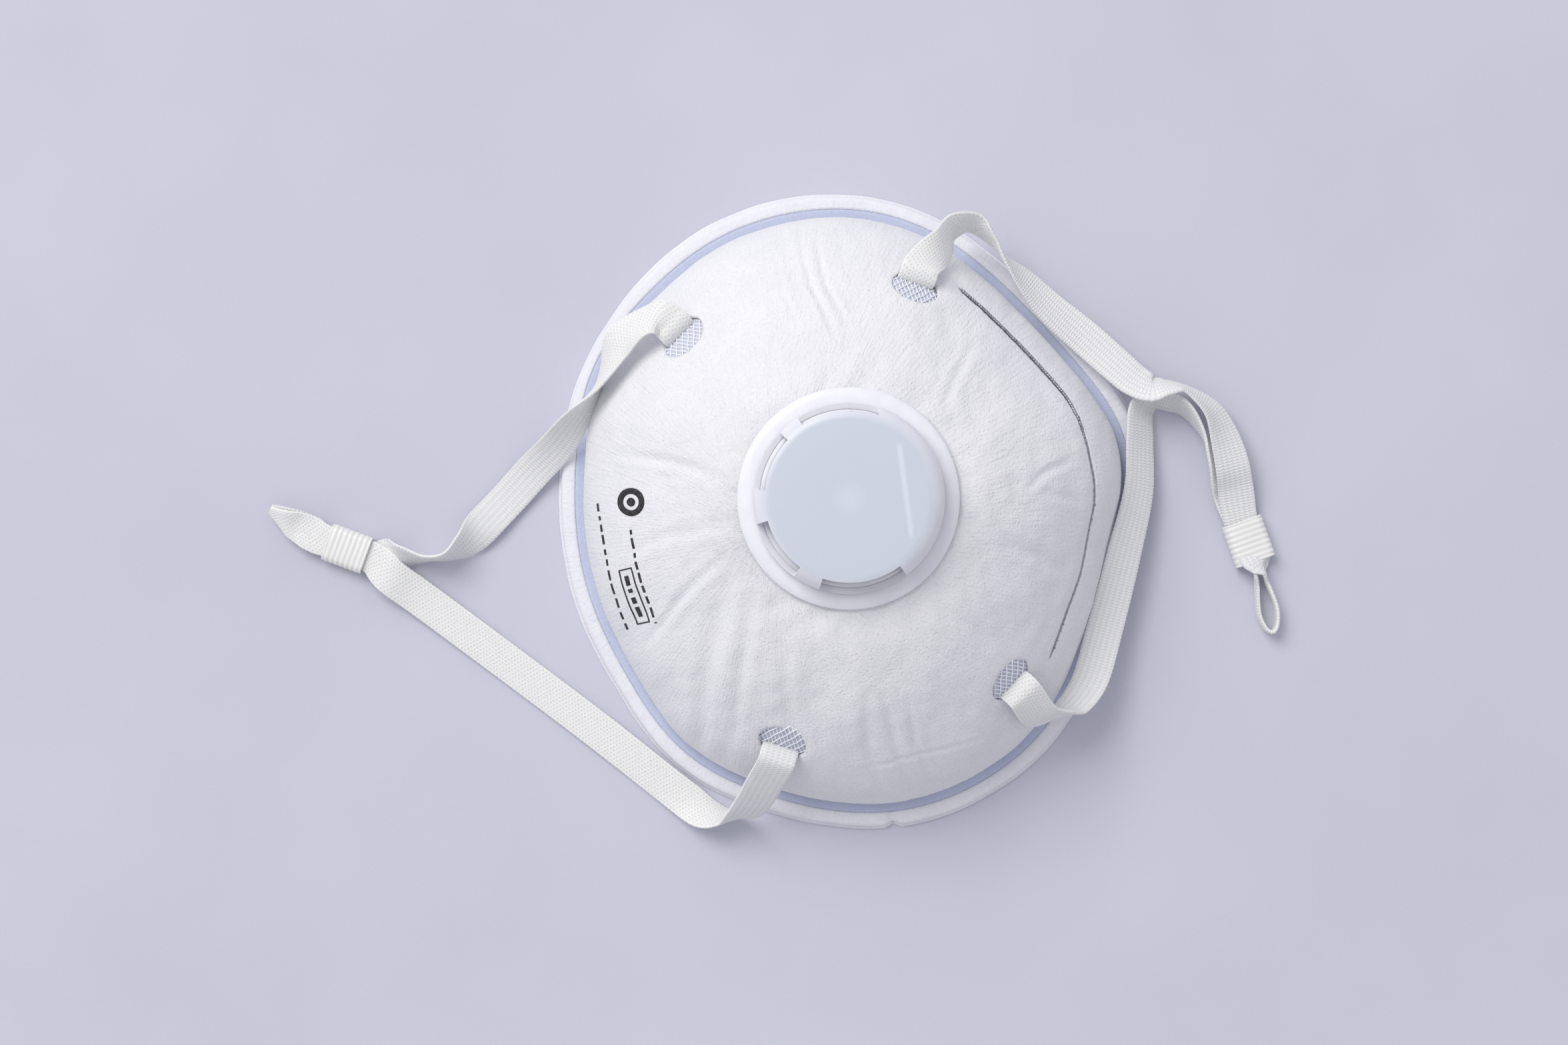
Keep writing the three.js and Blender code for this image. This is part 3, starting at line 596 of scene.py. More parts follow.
def gathers(x, y, share):
    """The cover's folds round the valve and its soft unevenness; `share` is 1 at the seam."""
    from_valve = np.hypot(x - VALVE[0], y - VALVE[1])
    round_valve = np.arctan2(y - VALVE[1], x - VALVE[0])
    pucker = wave_sum(round_valve + 0.02 * from_valve, 4, (7, 11, 16, 23))
    relief = 0.32 * pucker * bell(from_valve, 23, 6.5)
    gather = wave_sum(round_valve, 9, (5, 9, 13, 19)) * smoothstep(from_valve, 24, 34)
    relief += 0.16 * gather * (1 - smoothstep(share, 0.7, 0.95))
    relief += 0.20 * plan_noise(x, y, 21, 9.0) * smoothstep(from_valve, 20, 30)
    relief += 0.05 * plan_noise(x, y, 33, 2.2)
    edge_waves = wave_sum(np.arctan2(y, x), 15, (11, 17, 29, 43))
    return relief + 0.10 * edge_waves * smoothstep(share, 0.86, 0.97)


def crease_relief(x, y):
    """All creases together: each is a dent, or a ridge, with a low shoulder beside it."""
    bent_x = x + CREASE_WOBBLE * plan_noise(x, y, 51, 16.0)
    bent_y = y + CREASE_WOBBLE * plan_noise(x, y, 52, 16.0)
    relief = np.zeros(x.shape)
    for run, depth, half_width in CREASES:
        off, place = distance_to_run(bent_x, bent_y, run)
        fade = np.sin(math.pi * np.clip(place * 0.9 + 0.05, 0, 1)) ** 0.7
        dent = bell(off, 0, half_width)
        shoulder = bell(off, 1.9 * half_width, half_width)
        relief += CREASE_DEPTH * depth * fade * (0.35 * shoulder - dent)
    return relief


def cover_relief(x, y):
    """How far the cover stands out from the smooth form, in millimetres."""
    share = np.hypot(x, y) / seam_radius(np.arctan2(y, x))
    relief = gathers(x, y, share) + crease_relief(x, y)
    relief *= 1 - 0.75 * smoothstep(share, 0.93, 1.0)
    slit, _ = distance_to_run(x, y, CLIP_RUN)
    relief += 0.12 * bell(slit, 2.2, 1.2) - 0.10 * bell(slit, 0, 0.9)
    for centre in SLOTS:
        relief -= 0.12 * bell(slot_measure(x, y, centre), 1, 0.16)
    return relief


def slot_measure(x, y, centre):
    """1 on a slot's edge, less inside it; the oval is laid on the sloping cover."""
    normal = form_normal(*centre)
    radial = unit(np.append(centre, 0.0))
    tangent = unit(np.cross(normal, radial))
    downhill = np.cross(tangent, normal)
    rise = form_height(x, y) - form_height(*centre)
    offset = np.stack([x - centre[0], y - centre[1], rise], -1)
    return np.hypot(offset @ downhill / SLOT_HALVES[0], offset @ tangent / SLOT_HALVES[1])


def cover_point(x, y, lift=0.0):
    """Points on the finished cover, `lift` above it."""
    x, y = np.asarray(x, float), np.asarray(y, float)
    base = np.stack([x, y, form_height(x, y)], -1)
    return base + form_normal(x, y) * (cover_relief(x, y) + lift)[..., None]


def polar_plan(around, shares, inset):
    """Plan points from the valve's hole to `inset` inside the seam, row by row round the cup."""
    angle = full_turn(around)
    direction = np.stack([np.cos(angle), np.sin(angle)], -1)
    hole = VALVE + direction * HOLE_R
    edge = direction * (seam_radius(angle) - inset)[:, None]
    plan = hole[:, None] + (edge - hole)[:, None] * np.asarray(shares)[None, :, None]
    return plan[..., 0], plan[..., 1]


def pull_to_edge(plan, level):
    """Moves plan points by Newton steps to where `level` is zero."""
    step = 0.05
    for _ in range(3):
        x, y = plan[:, 0], plan[:, 1]
        value = level(x, y)
        slope = np.stack([
            (level(x + step, y) - level(x - step, y)) / (2 * step),
            (level(x, y + step) - level(x, y - step)) / (2 * step),
        ], -1)
        size = np.maximum((slope ** 2).sum(-1), 1e-3)
        plan = plan - np.clip((value / size)[:, None] * slope, -0.6, 0.6)
    return plan


def cut_openings(x, y, faces, levels):
    """Drops faces inside the openings and pulls their border points onto the openings' edges."""
    plan = np.stack([x, y], -1)
    for level in levels:
        centre = plan[faces].mean(1)
        gone = level(centre[:, 0], centre[:, 1]) < 0
        border = np.intersect1d(np.unique(faces[gone]), np.unique(faces[~gone]))
        plan[border] = pull_to_edge(plan[border], level)
        faces = faces[~gone]
    return plan[:, 0], plan[:, 1], faces


def compacted(points, faces):
    """Only the points that faces use."""
    used, numbers = np.unique(faces, return_inverse=True)
    return points[used], numbers.reshape(faces.shape)


def slit_level(x, y):
    off, place = distance_to_run(x, y, CLIP_RUN)
    jag = 0.06 * np.sin(x * 5.1) * np.sin(x * 1.3 + 1)
    half = SLIT_HALF * (1 - 0.22 * smoothstep(x, -16, 4))
    return off - half * smoothstep(place, -0.02, 0.03) * smoothstep(1 - place, -0.02, 0.03) + jag


def slot_level(centre):
    return lambda x, y: (slot_measure(x, y, centre) - 1) * SLOT_HALVES[0]


def edge_shares(count):
    """Shares from 0 to 1, closer together towards the cup's edge."""
    return 1 - (1 - np.linspace(0, 1, count)) ** 1.5


def build_cover():
    around, down = 620, 132
    x, y = polar_plan(around, edge_shares(down), COVER_INSET)
    faces = grid_faces(around, down, wrap_rows=True)
    levels = [slot_level(centre) for centre in SLOTS] + [slit_level]
    x, y, faces = cut_openings(x.ravel(), y.ravel(), faces, levels)
    points, faces = compacted(cover_point(x, y), faces)
    piece = add_piece("cover_shell", points, faces, COVER_FELT)
    modifier(piece, "SOLIDIFY", thickness=COVER_THICK * MM, offset=-1)
    finish_piece(piece, "cover", "outer_cover")


# Thickness of the layers from outside in, and the free room between two layers
COVER_THICK = 0.8
NET_THICK = 0.6
FILTER_THICK = 1.0
LINING_THICK = 0.5
LAYER_GAP = 0.45


def net_depth(s):
    """Depth of the net, with room over it for the band and the clip, as in the CAD."""
    return COVER_THICK + 0.3 + 1.7 * bell(s, 0.86, 0.13)


def filter_depth(s):
    return net_depth(s) + 0.7 + LAYER_GAP


def lining_depth(s):
    return filter_depth(s) + FILTER_THICK + LAYER_GAP


def dome_rows(depth_of, extra, around, shares):
    """Rows of points on a pressed layer, from the valve's hole to its edge."""
    inset = COVER_INSET + depth_of(1.0) + extra
    x, y = polar_plan(around, shares, inset)
    s = np.hypot(x, y) / (seam_radius(np.arctan2(y, x)) - inset)
    z = form_height(x, y, depth_of(s) + extra)
    z[:, -1] = CUP_EDGE_Z
    return np.stack([x, y, z], -1)


def ring_piece(name, rows, material):
    """A closed skin from rows of points, joined both ways."""
    faces = grid_faces(*rows.shape[:2], wrap_rows=True, wrap_columns=True)
    return add_piece(name, rows, faces, material)


def layer_piece(name, depth_of, thick, foot, material, slot, node):
    """A pressed layer with a flat flange; `foot` is [distance outside the seam, height]."""
    around = 300
    shares = edge_shares(40)
    outer = dome_rows(depth_of, 0.0, around, shares)
    inner = dome_rows(depth_of, thick, around, shares)[:, ::-1]
    angle = full_turn(around)
    out, height = np.array(foot).T
    flange = polar_rows(angle, seam_radius(angle)[:, None] + out, height)
    piece = ring_piece(name, np.concatenate([outer, flange, inner], 1), material)
    finish_piece(piece, slot, node)


def build_layers():
    foot = [
        (-0.6, 2.36), (0.2, 2.4), (0.84, 2.56), (0.91, 2.5), (0.91, 1.5), (0.7, 1.35), (-3.9, 1.3),
    ]
    layer_piece("filter_felt", filter_depth, FILTER_THICK, foot, FILTER_FELT,
                "filter", "filter_layer")
    foot = [(-3.5, 1.0), (0.6, 0.95), (0.75, 0.8), (0.75, 0.55), (0.6, 0.42), (-4.6, 0.42)]
    layer_piece("lining_felt", lining_depth, LINING_THICK, foot, LINING_FELT,
                "lining", "inner_lining")


def rim_reach(angle):
    """Share of the rim's usual width: it is narrower at one side of the chin."""
    pinch = bell(angle, math.radians(226), math.radians(13))
    side = bell(angle, math.radians(158), math.radians(16))
    return 1 - 0.36 * pinch - 0.10 * side


def rim_notch(angle):
    """The small gap where the two ends of the rim's tape meet, 1 at its middle."""
    off = np.mod(angle - math.radians(354.5) + math.pi, TAU) - math.pi
    return np.clip(1 - np.abs(off) / math.radians(1.5), 0, 1)


def build_rim():
    profile = [
        (0.92, 0.1), (1.1, 0.02), (4.4, 0.0), (4.6, 0.1), (4.62, 0.3), (4.45, 0.5), (4.15, 0.62),
        (4.05, 1.0), (3.98, 1.6), (3.8, 2.1), (3.4, 2.5), (2.8, 2.72), (2.1, 2.7), (1.6, 2.78),
        (1.2, 2.72), (0.98, 2.5), (0.92, 2.2),
    ]
    angle = full_turn(900)
    out, height = np.array(profile).T
    share = (rim_reach(angle) - 0.26 * rim_notch(angle))[:, None]
    reach = SEAM_SPLIT + (out - SEAM_SPLIT)[None] * share
    wave = 0.09 * wave_sum(angle, 8, (9, 14, 23, 37))[:, None] * ((out - 1) / 3.6)[None]
    reach = seam_radius(angle)[:, None] + reach + wave
    ripple = 0.05 * wave_sum(angle, 12, (61, 83, 97, 131)) - 0.8 * rim_notch(angle)
    rise = height[None] + ripple[:, None] * (height > 1.5)[None]
    faces = flipped(grid_faces(len(angle), len(profile), wrap_rows=True, wrap_columns=True))
    piece = add_piece("rim_welt", polar_rows(angle, reach, rise), faces, RIM_FELT)
    finish_piece(piece, "rim", "rim_band")


# ---- sweeps


def frames_along(path, across):
    along = unit(np.gradient(path, axis=0))
    across = unit(across - (across * along).sum(-1, keepdims=True) * along)
    return along, across, np.cross(along, across)


def sweep_points(path, across, sections):
    """Rings of (across, face) offsets set along a path; one section, or one per path point."""
    _, side, face = frames_along(path, across)
    sections = np.broadcast_to(sections, (len(path),) + np.shape(sections)[-2:])
    return path[:, None] + side[:, None] * sections[..., :1] + face[:, None] * sections[..., 1:]


def sweep_faces(rings, size):
    faces = [list(f) for f in grid_faces(rings, size, wrap_columns=True)]
    faces.append(list(range(size))[::-1])
    faces.append(list(range((rings - 1) * size, rings * size)))
    return faces


def swept_piece(name, path, across, sections, material):
    points = sweep_points(path, across, sections)
    return add_piece(name, points, sweep_faces(*points.shape[:2]), material)


def oblong(wide, tall, radius, steps=8):
    """Corner-rounded rectangle as (across, face) points, counter-clockwise."""
    points = []
    for k, (sx, sy) in enumerate(((1, 1), (-1, 1), (-1, -1), (1, -1))):
        turn = np.linspace(0, math.pi / 2, steps) + k * math.pi / 2
        x = sx * (wide / 2 - radius) + radius * np.cos(turn)
        y = sy * (tall / 2 - radius) + radius * np.sin(turn)
        points.append(np.stack([x, y], -1))
    return np.vstack(points)


def build_clip():
    """The metal strip on edge in its slit: proud and knurled at the left, sunk at the right."""
    run = spline(CLIP_PLAN, 130)
    normal = form_normal(run[:, 0], run[:, 1])
    base = cover_point(run[:, 0], run[:, 1])
    length = running_length(base)
    ridge = 0.06 * np.cos(length * TAU / 0.62)
    from_end = np.minimum(length, length[-1] - length)
    taper = rounding(from_end / 0.9, 0.02)
    sunk = smoothstep(run[:, 0], -16, 4)
    section = oblong(2.2, 0.62, 0.22, 4)
    sections = section[None] * np.stack([taper, taper * (1 - 0.3 * sunk)], -1)[:, None]
    sections[..., 0] += (ridge * (1 - 0.6 * sunk))[:, None] * (section[:, 0] > 0.8)[None]
    path = base - normal * (0.78 + 0.42 * sunk)[:, None]
    piece = swept_piece("clip_strip", path, normal, sections, CLIP_METAL)
    finish_piece(piece, "clip", "nose_clip")


def thread(points, radius):
    """A thin six-sided tube; returns its points and faces."""
    path = np.array(points, float)
    turn = full_turn(6)
    section = np.stack([np.cos(turn), np.sin(turn)], -1) * radius
    across = np.broadcast_to(np.array([0.3, 0.2, 1.0]), path.shape)
    return sweep_points(path, across, section).reshape(-1, 3), sweep_faces(len(path), 6)


def merged(parts):
    points, faces, base = [], [], 0
    for part_points, part_faces in parts:
        points.append(part_points)
        faces.extend([[i + base for i in f] for f in part_faces])
        base += len(part_points)
    return np.vstack(points), faces


NET_BULGE = 1.85
PATCH_R = 6.2  # reach of the drawn threads round a slot's centre
THREAD_R = 0.15


def net_level(x, y):
    """Depth of the net under the cover: it bulges up into each slot, but not where the band is."""
    depth = net_depth(np.hypot(x, y) / (seam_radius(np.arctan2(y, x)) - COVER_INSET))
    for centre in SLOTS:
        outward = np.stack([x, y], -1) @ unit(centre) - np.linalg.norm(centre)
        near = np.exp(-(slot_measure(x, y, centre) / 1.45) ** 6)
        depth = depth - NET_BULGE * near * (1 - smoothstep(outward, 0.7, 2.4))
    return depth


def net_patch(centre):
    """Crossing threads of the netting behind one slot."""
    radial = unit(centre)
    tangent = np.array([-radial[1], radial[0]])
    parts = []
    for turn, pitch, lift in ((0.62, 0.78, 0.06), (-0.75, 1.2, 0.18)):
        run = radial * math.cos(turn) + tangent * math.sin(turn)
        side = radial * -math.sin(turn) + tangent * math.cos(turn)
        for k in range(-int(PATCH_R / pitch), int(PATCH_R / pitch) + 1):
            half = math.sqrt(PATCH_R ** 2 - (k * pitch) ** 2)
            u = np.linspace(-half, half, 26)
            plan = centre[None] + run * u[:, None] + side * (k * pitch)
            plan = plan + radial * 0.08 * np.sin(u * 2.1 + k)[:, None]
            z = form_height(plan[:, 0], plan[:, 1], net_level(plan[:, 0], plan[:, 1]) - lift)
            parts.append(thread(np.column_stack([plan, z]), THREAD_R))
    return merged(parts)


def build_net():
    """The support net: a shell under the cover, with its threads drawn where a slot shows it."""
    skins = []
    for extra in (0.0, NET_THICK):
        rows = dome_rows(net_depth, extra, 420, edge_shares(64))
        x, y = rows[:, :-1, 0], rows[:, :-1, 1]
        rows[:, :-1, 2] = form_height(x, y, net_level(x, y) + extra)
        skins.append(rows)
    # The shell carries painted shade: grey-blue for the filter's blue and the shade in the net's holes
    piece = ring_piece("net_shell", np.concatenate([skins[0], skins[1][:, ::-1]], 1), NET_PAINTED_SHADE)
    finish_piece(piece, "net", "support_net")
    points, faces = merged([net_patch(centre) for centre in SLOTS])
    piece = add_piece("net_threads", points, faces, NET_PLASTIC)
    finish_piece(piece, "net")


# ---- elastic band

BAND_WIDE = 7.7
BAND_THICK = 0.95
BAND_STEP = 0.3  # distance between two sections along the band
SCALLOP = 0.95  # pitch of the loops along the band's edges
SCALLOP_DEPTH = 0.11
EDGE_ROOM = 0.36  # room for the beaded edge, each side
CHIN_FERRULE = {
    "at": (-17.6, -105.6), "heading": 236.0, "long": 9.0, "band_wide": 6.6, "lead": 1.4,
    "beyond": [(0, 6.6), (4, 7.4), (8, 6.4), (13.6, 2.4)],
}
CROWN_FERRULE = {
    "at": (26.3, 81.3), "heading": 6.0, "long": 9.2, "band_wide": 7.2, "lead": 0.8,
    "beyond": [(0, 7.2), (1.6, 5), (4, 3.6), (15.4, 3.6)],
}
LOW_STRAND_Z = 1.4
HIGH_STRAND_Z = 2.7
MIDDLE_Z = (LOW_STRAND_Z + HIGH_STRAND_Z) / 2

# Stations of the band: x, y, z, then the compass angle and the tilt of one chosen edge
CHIN_LEFT = [
    (-48.1, -29.2, 25.5, 309, 10), (-47.7, -33.2, 24.2, 343, 30), (-45.1, -38.5, 22, 375, 22),
    (-40.4, -42.8, 18.6, 392, 68), (-35.6, -47.4, 14.2, 392, 104), (-31.6, -52.4, 9.6, 388, 128),
    (-28, -57, 5.8, 388, 150), (-24.4, -63, 2.6, 390, 170), (-20, -69.6, 1.4, 393, 180),
    (-16, -75.7, 1.9, 393, 175), (-12.5, -81, 3.8, 388, 128), (-11, -85.4, 4.3, 365, 100),
    (-11.6, -89.6, 4.3, 348, 97), (-13.2, -94.2, 3.7, 340, 124), (-14, -97.9, 1.8, 330, 168),
]
CHIN_RIGHT = [
    (50.6, -30.6, 19.6, 54, -12), (54.6, -34.2, 13, 44, -34), (57, -37.4, 7.8, 18, -66),
    (57.2, -40.8, 4.6, -18, -104), (55.2, -44.9, 2.6, -40, -146), (51.4, -48.3, 1.3, -50, -176),
    (32.4, -63.3, 0.85, -51, -180), (10, -81.7, 0.85, -51, -180), (-4.4, -93.6, 1.7, -50, -180),
    (-9.6, -97.9, 3.2, -44, -180),
]
CROWN_LEFT = [
    (-48.8, 31.2, 20.8, 225, 46), (-52.2, 35, 15.8, 205, 62), (-52.2, 39.4, 12, 165, 66),
    (-48.6, 42.4, 9.8, 125, 82), (-43.6, 44.8, 8.4, 116, 102), (-38.6, 47.8, 7.2, 120, 128),
    (-31.6, 51.8, 6.2, 123, 152), (-24.2, 57.2, 5.4, 128, 168), (-17.2, 62, 6.1, 130, 166),
    (-12.6, 65.3, 7, 139, 155), (-10.2, 68.2, 7.9, 152, 138), (-9.9, 71.1, 7.7, 162, 118),
    (-9, 74.4, 6.8, 158, 102), (-6, 77.6, 6.6, 136, 112), (-2, 80.1, 6.5, 113, 128),
    (4, 81.1, 6.3, 98, 150), (10.4, 81.2, 6, 95, 168), (15, 81, 4, 95, 179),
]
CROWN_RIGHT = [
    (50.6, 28.4, 20.4, 128, 40), (51.8, 32, 15.6, 150, 84), (50.6, 36.2, 11.6, 190, 128),
    (46.8, 40.7, 9.2, 220, 158), (36.9, 46.6, 7.6, 238, 180), (22.3, 54.4, 7.8, 243, 198),
    (9.8, 60.8, 6.3, 247, 212), (0, 63.6, 4.9, 248, 218), (-6.6, 65.8, 3.9, 230, 222),
    (-8.2, 68.6, 3.6, 196, 228), (-6.9, 71.6, 4, 162, 238), (-4.2, 74.6, 4.3, 136, 254),
    (1.2, 76.8, 4.3, 104, 270), (6.6, 77.8, 4, 96, 292), (11.4, 79.1, 2.9, 96, 324),
    (15.2, 80, 1.8, 96, 350),
]
# Path through a slot: distance outward along the cover, then height over it
SLOT_PATH = [(6.4, -1.75), (3.6, -1.75), (2.2, -1.0), (1.8, 0.3), (2.2, 1.6), (3.2, 2.6)]


def station_edge(compass, tilt):
    flat = math.cos(math.radians(tilt))
    angle = math.radians(compass)
    return np.array([flat * math.cos(angle), flat * math.sin(angle), math.sin(math.radians(tilt))])


def near_slot(centre, out, up):
    normal = form_normal(*centre)
    radial = unit(np.append(centre, 0.0))
    downhill = unit(radial - (radial @ normal) * normal)
    surface = np.array([*centre, form_height(*centre)])
    return surface + downhill * out + normal * up


def strand(centre, compass, stations):
    """One strand from under the cover, up through its slot, and along its stations."""
    points = [(near_slot(centre, *step), station_edge(compass, 0)) for step in SLOT_PATH]
    points += [(np.array(s[:3], float), station_edge(s[3], s[4])) for s in stations]
    return points


def heading_vector(ferrule):
    """Direction along a ferrule, towards the folded end of the band."""
    return station_edge(ferrule["heading"], 0)


def ferrule_run(ferrule, z):
    along = heading_vector(ferrule)
    at = np.array([*ferrule["at"], z])
    edge = station_edge(ferrule["heading"] + 90, 0)
    return [(at + along * s, edge) for s in (-ferrule["long"] / 2 - ferrule["lead"], 0.0)]


def end_loop(ferrule, long, open_to, open_over, twist, twist_over, bend, first_side):
    """The folded end beyond a ferrule: out on one strand, round, and back on the other."""
    closed = (HIGH_STRAND_Z - LOW_STRAND_Z) / 2 + 0.2
    along = heading_vector(ferrule)
    side = np.array([-along[1], along[0], 0])
    out, back = [], []
    for u in (0, 0.12, 0.3, 0.5, 0.7, 0.85, 0.95, 1.0):
        turn = math.radians(twist) * float(smoothstep(u, *twist_over))
        opened = float(smoothstep(u, *open_over))
        closing = math.sqrt(1 - (max(0.0, u - 0.6) / 0.4) ** 2)
        apart = (closed + (open_to - closed) * opened) * closing
        half_wide = np.interp(u * long, *zip(*ferrule["beyond"])) / 2
        below = half_wide * abs(math.sin(turn)) + (apart + BAND_THICK / 2) * math.cos(turn)
        centre = np.array([*ferrule["at"], max(MIDDLE_Z, 0.3 + below)])
        centre = centre + along * (ferrule["long"] / 2 + 0.4 + u * long)
        centre = centre + side * bend * max(0, u - 0.1)
        across = side * math.cos(turn) + UP * math.sin(turn)
        stack = UP * math.cos(turn) - side * math.sin(turn)
        if u == 1.0:
            return out + [(centre, across)] + back
        out.append((centre + stack * first_side * apart, across))
        back.insert(0, (centre - stack * first_side * apart, across))


RIB_DEPTH = 0.03
FACE_COUNT = 49  # points across the ribbed face


def band_section(half):
    """Ring of (across, face) points: ribbed face, bead, dotted face, bead."""
    across = np.linspace(1, -1, FACE_COUNT)
    body = BAND_THICK / 2 * (1 - 0.25 * np.abs(across) ** 6)
    ribs = RIB_DEPTH * (np.cos(across * math.pi * 6) - 1) * (np.abs(across) < 0.93)
    turn = np.linspace(0.15, 0.85, 5) * math.pi
    bead_a, bead_b = 0.32 * np.sin(turn), 0.36 * np.cos(turn)
    back = across[::-4]
    low = -BAND_THICK / 2 * (1 - 0.25 * np.abs(back) ** 6)
    a = np.concatenate([across * half, -half - bead_a, back * half, half + bead_a])
    b = np.concatenate([body + ribs, bead_b, low, -bead_b])
    return np.stack([a, b], -1)


def section_u():
    """The u of a section's points: 0 to 1 on the ribbed face, then a bead, and the same again."""
    face_u = np.linspace(0, 1, FACE_COUNT)
    bead_u = 1 + np.linspace(0.1, 0.9, 5) * BEAD_U
    half_way = U_PERIOD / 2
    return np.concatenate([face_u, bead_u, half_way + face_u[::4], half_way + bead_u])


def band_width(path, ferrule):
    """Width along the band: a ferrule squeezes it, and it tapers in the folded end."""
    offset = path[:, :2] - ferrule["at"]
    off = np.linalg.norm(offset, axis=1)
    half_long = ferrule["long"] / 2
    squeeze = 1 - smoothstep(off, half_long, half_long + 5)
    before = BAND_WIDE - (BAND_WIDE - ferrule["band_wide"]) * squeeze
    ahead = offset @ heading_vector(ferrule)[:2]
    beyond = np.interp(ahead - half_long, *zip(*ferrule["beyond"]))
    return np.where((ahead > half_long) & (off < half_long + 20), beyond, before)


def band_path(stations):
    """The band's middle line and edge directions, sampled evenly, and the length along it."""
    edges = [stations[0][1]]
    for _, edge in stations[1:]:
        edges.append(edge if edge @ edges[-1] > 0 else -edge)
    controls = [np.concatenate([at, edge]) for (at, _), edge in zip(stations, edges)]
    dense = spline(controls, 24)
    length = running_length(dense[:, :3])
    along = np.arange(0, length[-1], BAND_STEP)
    even = np.stack([np.interp(along, length, values) for values in dense.T], -1)
    return even[:, :3], unit(even[:, 3:]), along


def band_piece(name, stations, ferrule, ribbed_up_near):
    """The ribbon through all stations, with ribs on the face that is up near a given point."""
    path, across, along = band_path(stations)
    _, _, face = frames_along(path, across)
    nearest = np.argmin(np.linalg.norm(path[:, :2] - ribbed_up_near, axis=1))
    if face[nearest, 2] < 0:
        across = -across
    scallop = SCALLOP_DEPTH * np.abs(np.sin(math.pi * along / SCALLOP))
    half = band_width(path, ferrule) / 2 - EDGE_ROOM + scallop
    sections = np.array([band_section(h) for h in half])
    piece = swept_piece(name, path, across, sections, ELASTIC)
    set_uvs(piece.data, np.stack(np.broadcast_arrays(section_u(), along[:, None]), -1))
    return piece


def place_loop(piece, loop, hidden_run):
    """Hides a loop's CAD band and a CAD band run in favour of a band piece, and bakes the piece's
    transform.
    """
    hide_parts(loop + "_band", hidden_run)
    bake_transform(piece)


def build_bands():
    chin = strand(CHIN_SLOT_LEFT, 300, CHIN_LEFT) + ferrule_run(CHIN_FERRULE, LOW_STRAND_Z)
    chin += end_loop(CHIN_FERRULE, 13.2, 0.75, (0.1, 0.5), -38, (0.25, 0.95), -2.4, -1)
    back = strand(CHIN_SLOT_RIGHT, 60, CHIN_RIGHT) + ferrule_run(CHIN_FERRULE, HIGH_STRAND_Z)
    piece = band_piece("chin_elastic", chin + back[::-1], CHIN_FERRULE, (-24.4, -63))
    place_loop(piece, "chin_loop", "band_run_left")
    crown = strand(CROWN_SLOT_LEFT, 240, CROWN_LEFT) + ferrule_run(CROWN_FERRULE, HIGH_STRAND_Z)
    crown += end_loop(CROWN_FERRULE, 15, 2.1, (0.1, 0.75), -90, (-0.1, 0.2), -1.9, 1)
    back = strand(CROWN_SLOT_RIGHT, 120, CROWN_RIGHT) + ferrule_run(CROWN_FERRULE, LOW_STRAND_Z)
    piece = band_piece("crown_elastic", crown + back[::-1], CROWN_FERRULE, (8, 81))
    place_loop(piece, "crown_loop", "band_run_right")


FERRULE_WALL = 0.85  # tube's width outside the band, each side
FERRULE_TALL = 4.0
BORE_TALL = 2.9
RIDGES = 8
RIDGE_HEIGHT = 0.055


def build_ferrule(name, ferrule, node):
    """A crimped tube: ridges round it, rounded lips, and a flat bore for the two strands."""
    wide = ferrule["band_wide"] + 2 * FERRULE_WALL
    half = ferrule["long"] / 2
    s = np.linspace(-half, half, 90)
    lip = rounding((half - np.abs(s)) / 0.35, 0)
    ridge = RIDGE_HEIGHT * np.cos(s / half * math.pi * RIDGES) - 0.06
    inset = 0.28 * (1 - lip) - ridge * (np.abs(s) < half - 0.3)
    outer = [oblong(wide - 2 * i, FERRULE_TALL - 2 * i, 1.5) for i in inset]
    inner = oblong(wide - 1.1, BORE_TALL, 0.6)
    path = np.array([*ferrule["at"], MIDDLE_Z]) + heading_vector(ferrule) * s[:, None]
    across = np.broadcast_to(station_edge(ferrule["heading"] + 90, 0), path.shape)
    outside = sweep_points(path, across, np.array(outer))
    inside = sweep_points(path, across, inner)[::-1]
    piece = ring_piece(name, np.concatenate([outside, inside]), FERRULE_PLASTIC)
    finish_piece(piece, "ferrule", node, body=node)


# ---- valve


def lathe(profile, segments=160):
    """Points and faces of a turned ring or disc; radii and heights are from the valve's seat."""
    r, z = np.array(profile, float).T
    rows = polar_rows(full_turn(segments), r, CUP_FLAT_Z + z) + (*VALVE, 0)
    faces = flipped(grid_faces(segments, len(profile), wrap_rows=True, wrap_columns=True))
    return rows.reshape(-1, 3), faces


def turned_box(wide, long, tall, at):
    """A block by its sizes, with its centre given in the valve's own frame."""
    corners = np.array([(i, j, k) for i in (-1, 1) for j in (-1, 1) for k in (-1, 1)], float) / 2
    corners = corners * (wide, long, tall) + at
    c, s = math.cos(VALVE_TURN), math.sin(VALVE_TURN)
    x = VALVE[0] + corners[:, 0] * c - corners[:, 1] * s
    y = VALVE[1] + corners[:, 0] * s + corners[:, 1] * c
    points = np.stack([x, y, CUP_FLAT_Z + corners[:, 2]], -1)
    return points, [(0, 1, 3, 2), (4, 6, 7, 5), (0, 4, 5, 1), (2, 3, 7, 6), (0, 2, 6, 4), (1, 5, 7, 3)]


def sector_block(r_low, r_high, z_low, z_high, start, stop):
    """A curved block of the valve's windows, between two angles in degrees."""
    turn = np.radians(np.linspace(start, stop, 25)) + VALVE_TURN
    corners = ((r_low, z_low), (r_high, z_low), (r_high, z_high), (r_low, z_high))
    rings = [
        [(VALVE[0] + r * math.cos(t), VALVE[1] + r * math.sin(t), CUP_FLAT_Z + z) for r, z in corners]
        for t in turn
    ]
    return np.array(rings).reshape(-1, 3), sweep_faces(len(turn), 4)


